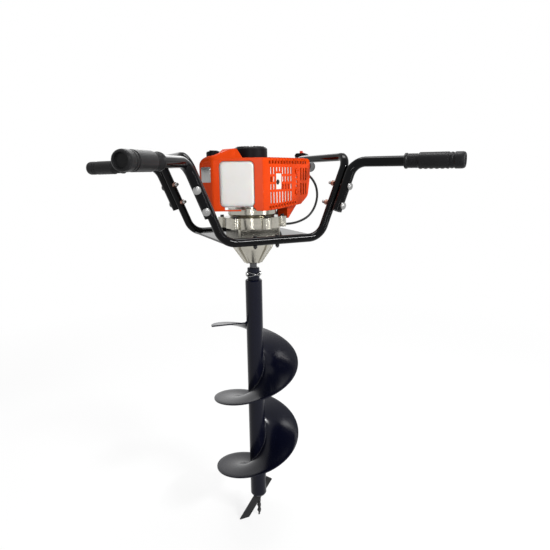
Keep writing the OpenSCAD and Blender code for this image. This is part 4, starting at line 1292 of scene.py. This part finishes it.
    def _slats(self) -> None:
        """Slats on the air filter cover and louvres on the end and back of the cylinder cover."""
        slats = ((self.slats_at, 7.0, 6, BACK, LEVEL, 1.0),)
        louvres = (
            (self.end_louvres_at, 7.0, 5, LEVEL, BACK, 2.4),
            (self.back_louvres_at, 8.0, 7, BACK, LEVEL, 1.2),
        )
        pieces = (("filter_slats", "black_plastic", slats), ("louvres", "orange_cover", louvres))
        for name, slot, rows in pieces:
            spots = []
            for (u, v, z), pitch, count, facing, along, stretch in rows:
                for k in range(count):
                    place = ENGINE.point(u, v, z + pitch * k)
                    spots.append(Spot(place, facing, along, (stretch, 1.0, 1.0)))
            slat = Mesher.prism(Mesher.rounded(32, 2.6, 1.2), -0.3, 1.6)
            self._copy(slat, name, slot, spots, 0.3)

    def _starter_top(self) -> None:
        """Raised rays on the starter's flat top."""
        spots = []
        for k in range(self.rays):
            a = 2 * math.pi * k / self.rays
            ray = ENGINE.way(math.cos(a), math.sin(a), 0)
            place = ray * (self.ray_reach * MM) + UP * (self.starter_top * MM)
            spots.append(Spot(place, UP, ray))
        bar = Mesher.prism(Mesher.rounded(18, 2.4, 1.1), -0.3, 1.1)
        self._copy(bar, "starter_rays", "black_plastic", spots, 0.25)


@dataclass
class HandleFittings(Assembly):
    """Screws, thread ends and grip rings of the handles, in mm."""

    head: float = 4.2
    housing_half: float = 18.0
    housing_screws: tuple[tuple[float, float], ...] = ((-32, 84), (-32, 120), (15, 84))
    filter_face: float = 121.0
    filter_screws: tuple[tuple[float, float], ...] = ((48, 985), (88, 985), (48, 1041), (88, 1041))
    grip_start: float = 131.0
    ring_start: float = 10.5
    ring_pitch: float = 3.2
    rings: int = 7
    neck: float = 17.0
    lean: float = math.radians(21.8)
    post_foot: Point = (132.0, 146.0, 887.0)
    bolt_turn: float = math.radians(65.6)
    bolt_reach: float = 19.0
    bolt_heights: tuple[float, float] = (973.0, 1022.0)

    def build(self) -> None:
        """Makes the fittings of the handles."""
        self._screws()
        self._thread_ends()
        self._grip_rings()

    def _screws(self) -> None:
        """Pan head screws of the throttle housing and the air filter cover."""
        rear = HandleFrame(1, 1)
        spots = []
        for side in (-1, 1):
            for x, s in self.housing_screws:
                place = rear.point(x, self.housing_half * side, s)
                spots.append(Spot(place, rear.across() * side))
        for u, z in self.filter_screws:
            spots.append(Spot(ENGINE.point(u, self.filter_face, z), BACK))
        r = self.head
        profile = [(0.0, -0.6), (r, -0.6), (r, 1.0), (r * 0.86, 2.0), (r * 0.6, 2.5)]
        profile += [(r * 0.5, 2.55), (r * 0.42, 0.9), (0.0, 0.8)]
        head = Mesher.lathe(profile, 24)
        self._copy(head, "cover_screws", "black_steel", spots, 0.12, spin=2 * math.pi)

    def _thread_ends(self) -> None:
        """Ridges on the ends of the handle bolts."""
        out = Vector((
            math.cos(self.bolt_turn) * math.cos(self.lean),
            math.sin(self.bolt_turn),
            -math.cos(self.bolt_turn) * math.sin(self.lean),
        ))
        x, y, foot = self.post_foot
        spots = []
        for handle in HANDLES:
            flip = Vector((handle.side_x, handle.side_y, 1))
            for z in self.bolt_heights:
                middle = Vector((x + (z - foot) * math.tan(self.lean), y, z))
                place = (middle - out * self.bolt_reach) * flip * MM
                spots.append(Spot(place, -(out * flip)))
        profile = [(3.9, 0.0), (4.45, 0.1)]
        for k in range(6):
            profile += [(4.45, 0.5 + 1.25 * k), (4.06, 0.9 + 1.25 * k), (4.45, 1.3 + 1.25 * k)]
        profile += [(4.05, 8.6), (3.9, 8.9)]
        self._copy(Mesher.lathe(profile, 24), "bolt_thread_ends", "zinc_steel", spots)

    def _grip_rings(self) -> None:
        """Fine rings on the narrow inner length of each grip."""
        spots = []
        for handle in HANDLES:
            for k in range(self.rings):
                s = self.grip_start + self.ring_start + self.ring_pitch * k
                spots.append(Spot(handle.point(0, 0, s), handle.along()))
        n = self.neck
        profile = [(n - 0.4, -1.1), (n + 0.5, -0.7), (n + 0.7, 0.0), (n + 0.5, 0.7), (n - 0.4, 1.1)]
        self._copy(Mesher.lathe(profile, 48), "grip_rings", "grip_rubber", spots)


@dataclass(frozen=True)
class Lamp:
    """One soft lamp, in metres and watts."""

    name: str
    place: Point
    power: float
    size: tuple[float, float]


LAMPS: tuple[Lamp, ...] = (
    Lamp("rail_strip", (1.3, -2.5, 2.3), 96.0, (0.9, 0.24)),
    Lamp("left_strip", (-1.1, -2.7, 1.3), 13.0, (0.12, 1.2)),
    Lamp("right_strip", (1.8, -2.3, 1.0), 13.0, (0.12, 1.2)),
    Lamp("top_lamp", (0.2, 0.3, 3.1), 40.0, (1.6, 0.6)),
    Lamp("back_lamp", (1.0, 2.6, 2.4), 22.0, (2.0, 1.2)),
)


@dataclass
class Studio:
    """Pale floor, soft light and the photograph's camera."""

    lens: float = 31.79
    sensor: float = 36.0
    eye: Point = (-0.4886, -1.2596, 1.0486)
    right: Point = (0.91376, -0.40599, -0.01449)
    up: Point = (0.09512, 0.17915, 0.97921)
    ahead: Point = (0.39495, 0.89615, -0.20232)
    lamps_aim: Point = (0.0, 0.0, 0.75)
    floor_half: float = 30.0
    floor_tone: float = 0.92
    floor_white: float = 0.82
    shadow_reach: float = 0.9
    world_light: float = 0.33

    def build(self) -> None:
        """Makes camera, lamps, world and floor."""
        scene = bpy.context.scene
        scene.view_settings.view_transform = "Standard"
        self._camera(scene)
        self._lamps(scene)
        self._world(scene)
        self._floor(scene)

    def _camera(self, scene: bpy.types.Scene) -> None:
        """Puts the camera where the photograph was taken.

        Args:
            scene: the scene.
        """
        data = bpy.data.cameras.new("photo_camera")
        data.lens = self.lens
        data.sensor_width = self.sensor
        data.clip_end = 100.0
        camera = bpy.data.objects.new("photo_camera", data)
        axes = Matrix((self.right, self.up, [-x for x in self.ahead])).transposed()
        camera.matrix_world = Matrix.Translation(self.eye) @ axes.to_4x4()
        scene.collection.objects.link(camera)
        scene.camera = camera

    def _lamps(self, scene: bpy.types.Scene) -> None:
        """Soft strip lamps.

        Args:
            scene: the scene.
        """
        for row in LAMPS:
            data = bpy.data.lights.new(row.name, "AREA")
            data.shape = "RECTANGLE"
            data.energy = row.power
            data.size, data.size_y = row.size
            lamp = bpy.data.objects.new(row.name, data)
            aim = Vector(self.lamps_aim) - Vector(row.place)
            turn = aim.to_track_quat("-Z", "Y").to_matrix().to_4x4()
            lamp.matrix_world = Matrix.Translation(row.place) @ turn
            scene.collection.objects.link(lamp)

    def _world(self, scene: bpy.types.Scene) -> None:
        """White where it is seen or mirrored, softer as light.

        Args:
            scene: the scene.
        """
        world = bpy.data.worlds.new("white_studio")
        world.use_nodes = True
        world.node_tree.nodes.clear()
        shop = NodeShop(world.node_tree)
        path = shop.add("ShaderNodeLightPath", {}, {})
        seen = Wire(shop, path.outputs["Is Camera Ray"])
        mirrored = Wire(shop, path.outputs["Is Glossy Ray"])
        through = Wire(shop, path.outputs["Is Transmission Ray"])
        shown = seen.at_least(mirrored).at_least(through)
        strength = self.world_light + shown * (1.0 - self.world_light)
        light = shop.node("ShaderNodeBackground", {}, {"Color": WHITE, "Strength": strength})
        shop.add("ShaderNodeOutputWorld", {}, {0: light})
        scene.world = world

    def _floor(self, scene: bpy.types.Scene) -> None:
        """A pale floor that keeps a soft shadow.

        Args:
            scene: the scene.
        """
        shop = MaterialShop("pale_floor")
        path = shop.add("ShaderNodeLightPath", {}, {})
        seen = Wire(shop, path.outputs["Is Camera Ray"])
        mirrored = Wire(shop, path.outputs["Is Glossy Ray"])
        tone = (self.floor_tone, self.floor_tone, self.floor_tone, 1.0)
        matt = shop.node("ShaderNodeBsdfDiffuse", {}, {"Color": tone})
        white = shop.node("ShaderNodeEmission", {}, {"Color": WHITE, "Strength": 1.0})
        far = shop.node("ShaderNodeVectorMath", {"operation": "LENGTH"}, {0: shop.place()}, "Value")
        past = (far - self.shadow_reach) / (2.0 * self.shadow_reach)
        fade = shop.ramp(past, low=0.0, high=1.0)
        white_share = self.floor_white + fade * (1.0 - self.floor_white)
        share = seen.at_least(mirrored) * white_share
        both = shop.node("ShaderNodeMixShader", {}, {0: share, 1: matt, 2: white})
        shop.add("ShaderNodeOutputMaterial", {}, {"Surface": both})
        mesh = bpy.data.meshes.new("floor")
        h = self.floor_half
        mesh.from_pydata([(-h, -h, 0), (h, -h, 0), (h, h, 0), (-h, h, 0)], [], [(0, 1, 2, 3)])
        floor = bpy.data.objects.new("floor", mesh)
        mesh.materials.append(shop.material)
        scene.collection.objects.link(floor)


def main() -> None:
    """Builds the scene in order."""
    logging.basicConfig(level=logging.INFO, format="%(message)s")
    Studio().build()
    finishes = Finishes()
    finishes.build()
    finishes.dress_nodes()
    for assembly in (ThrottleCable, ScrewBit, TankCowl, CoverFittings, HandleFittings):
        assembly(finishes).build()


if __name__ == "__main__":
    main()
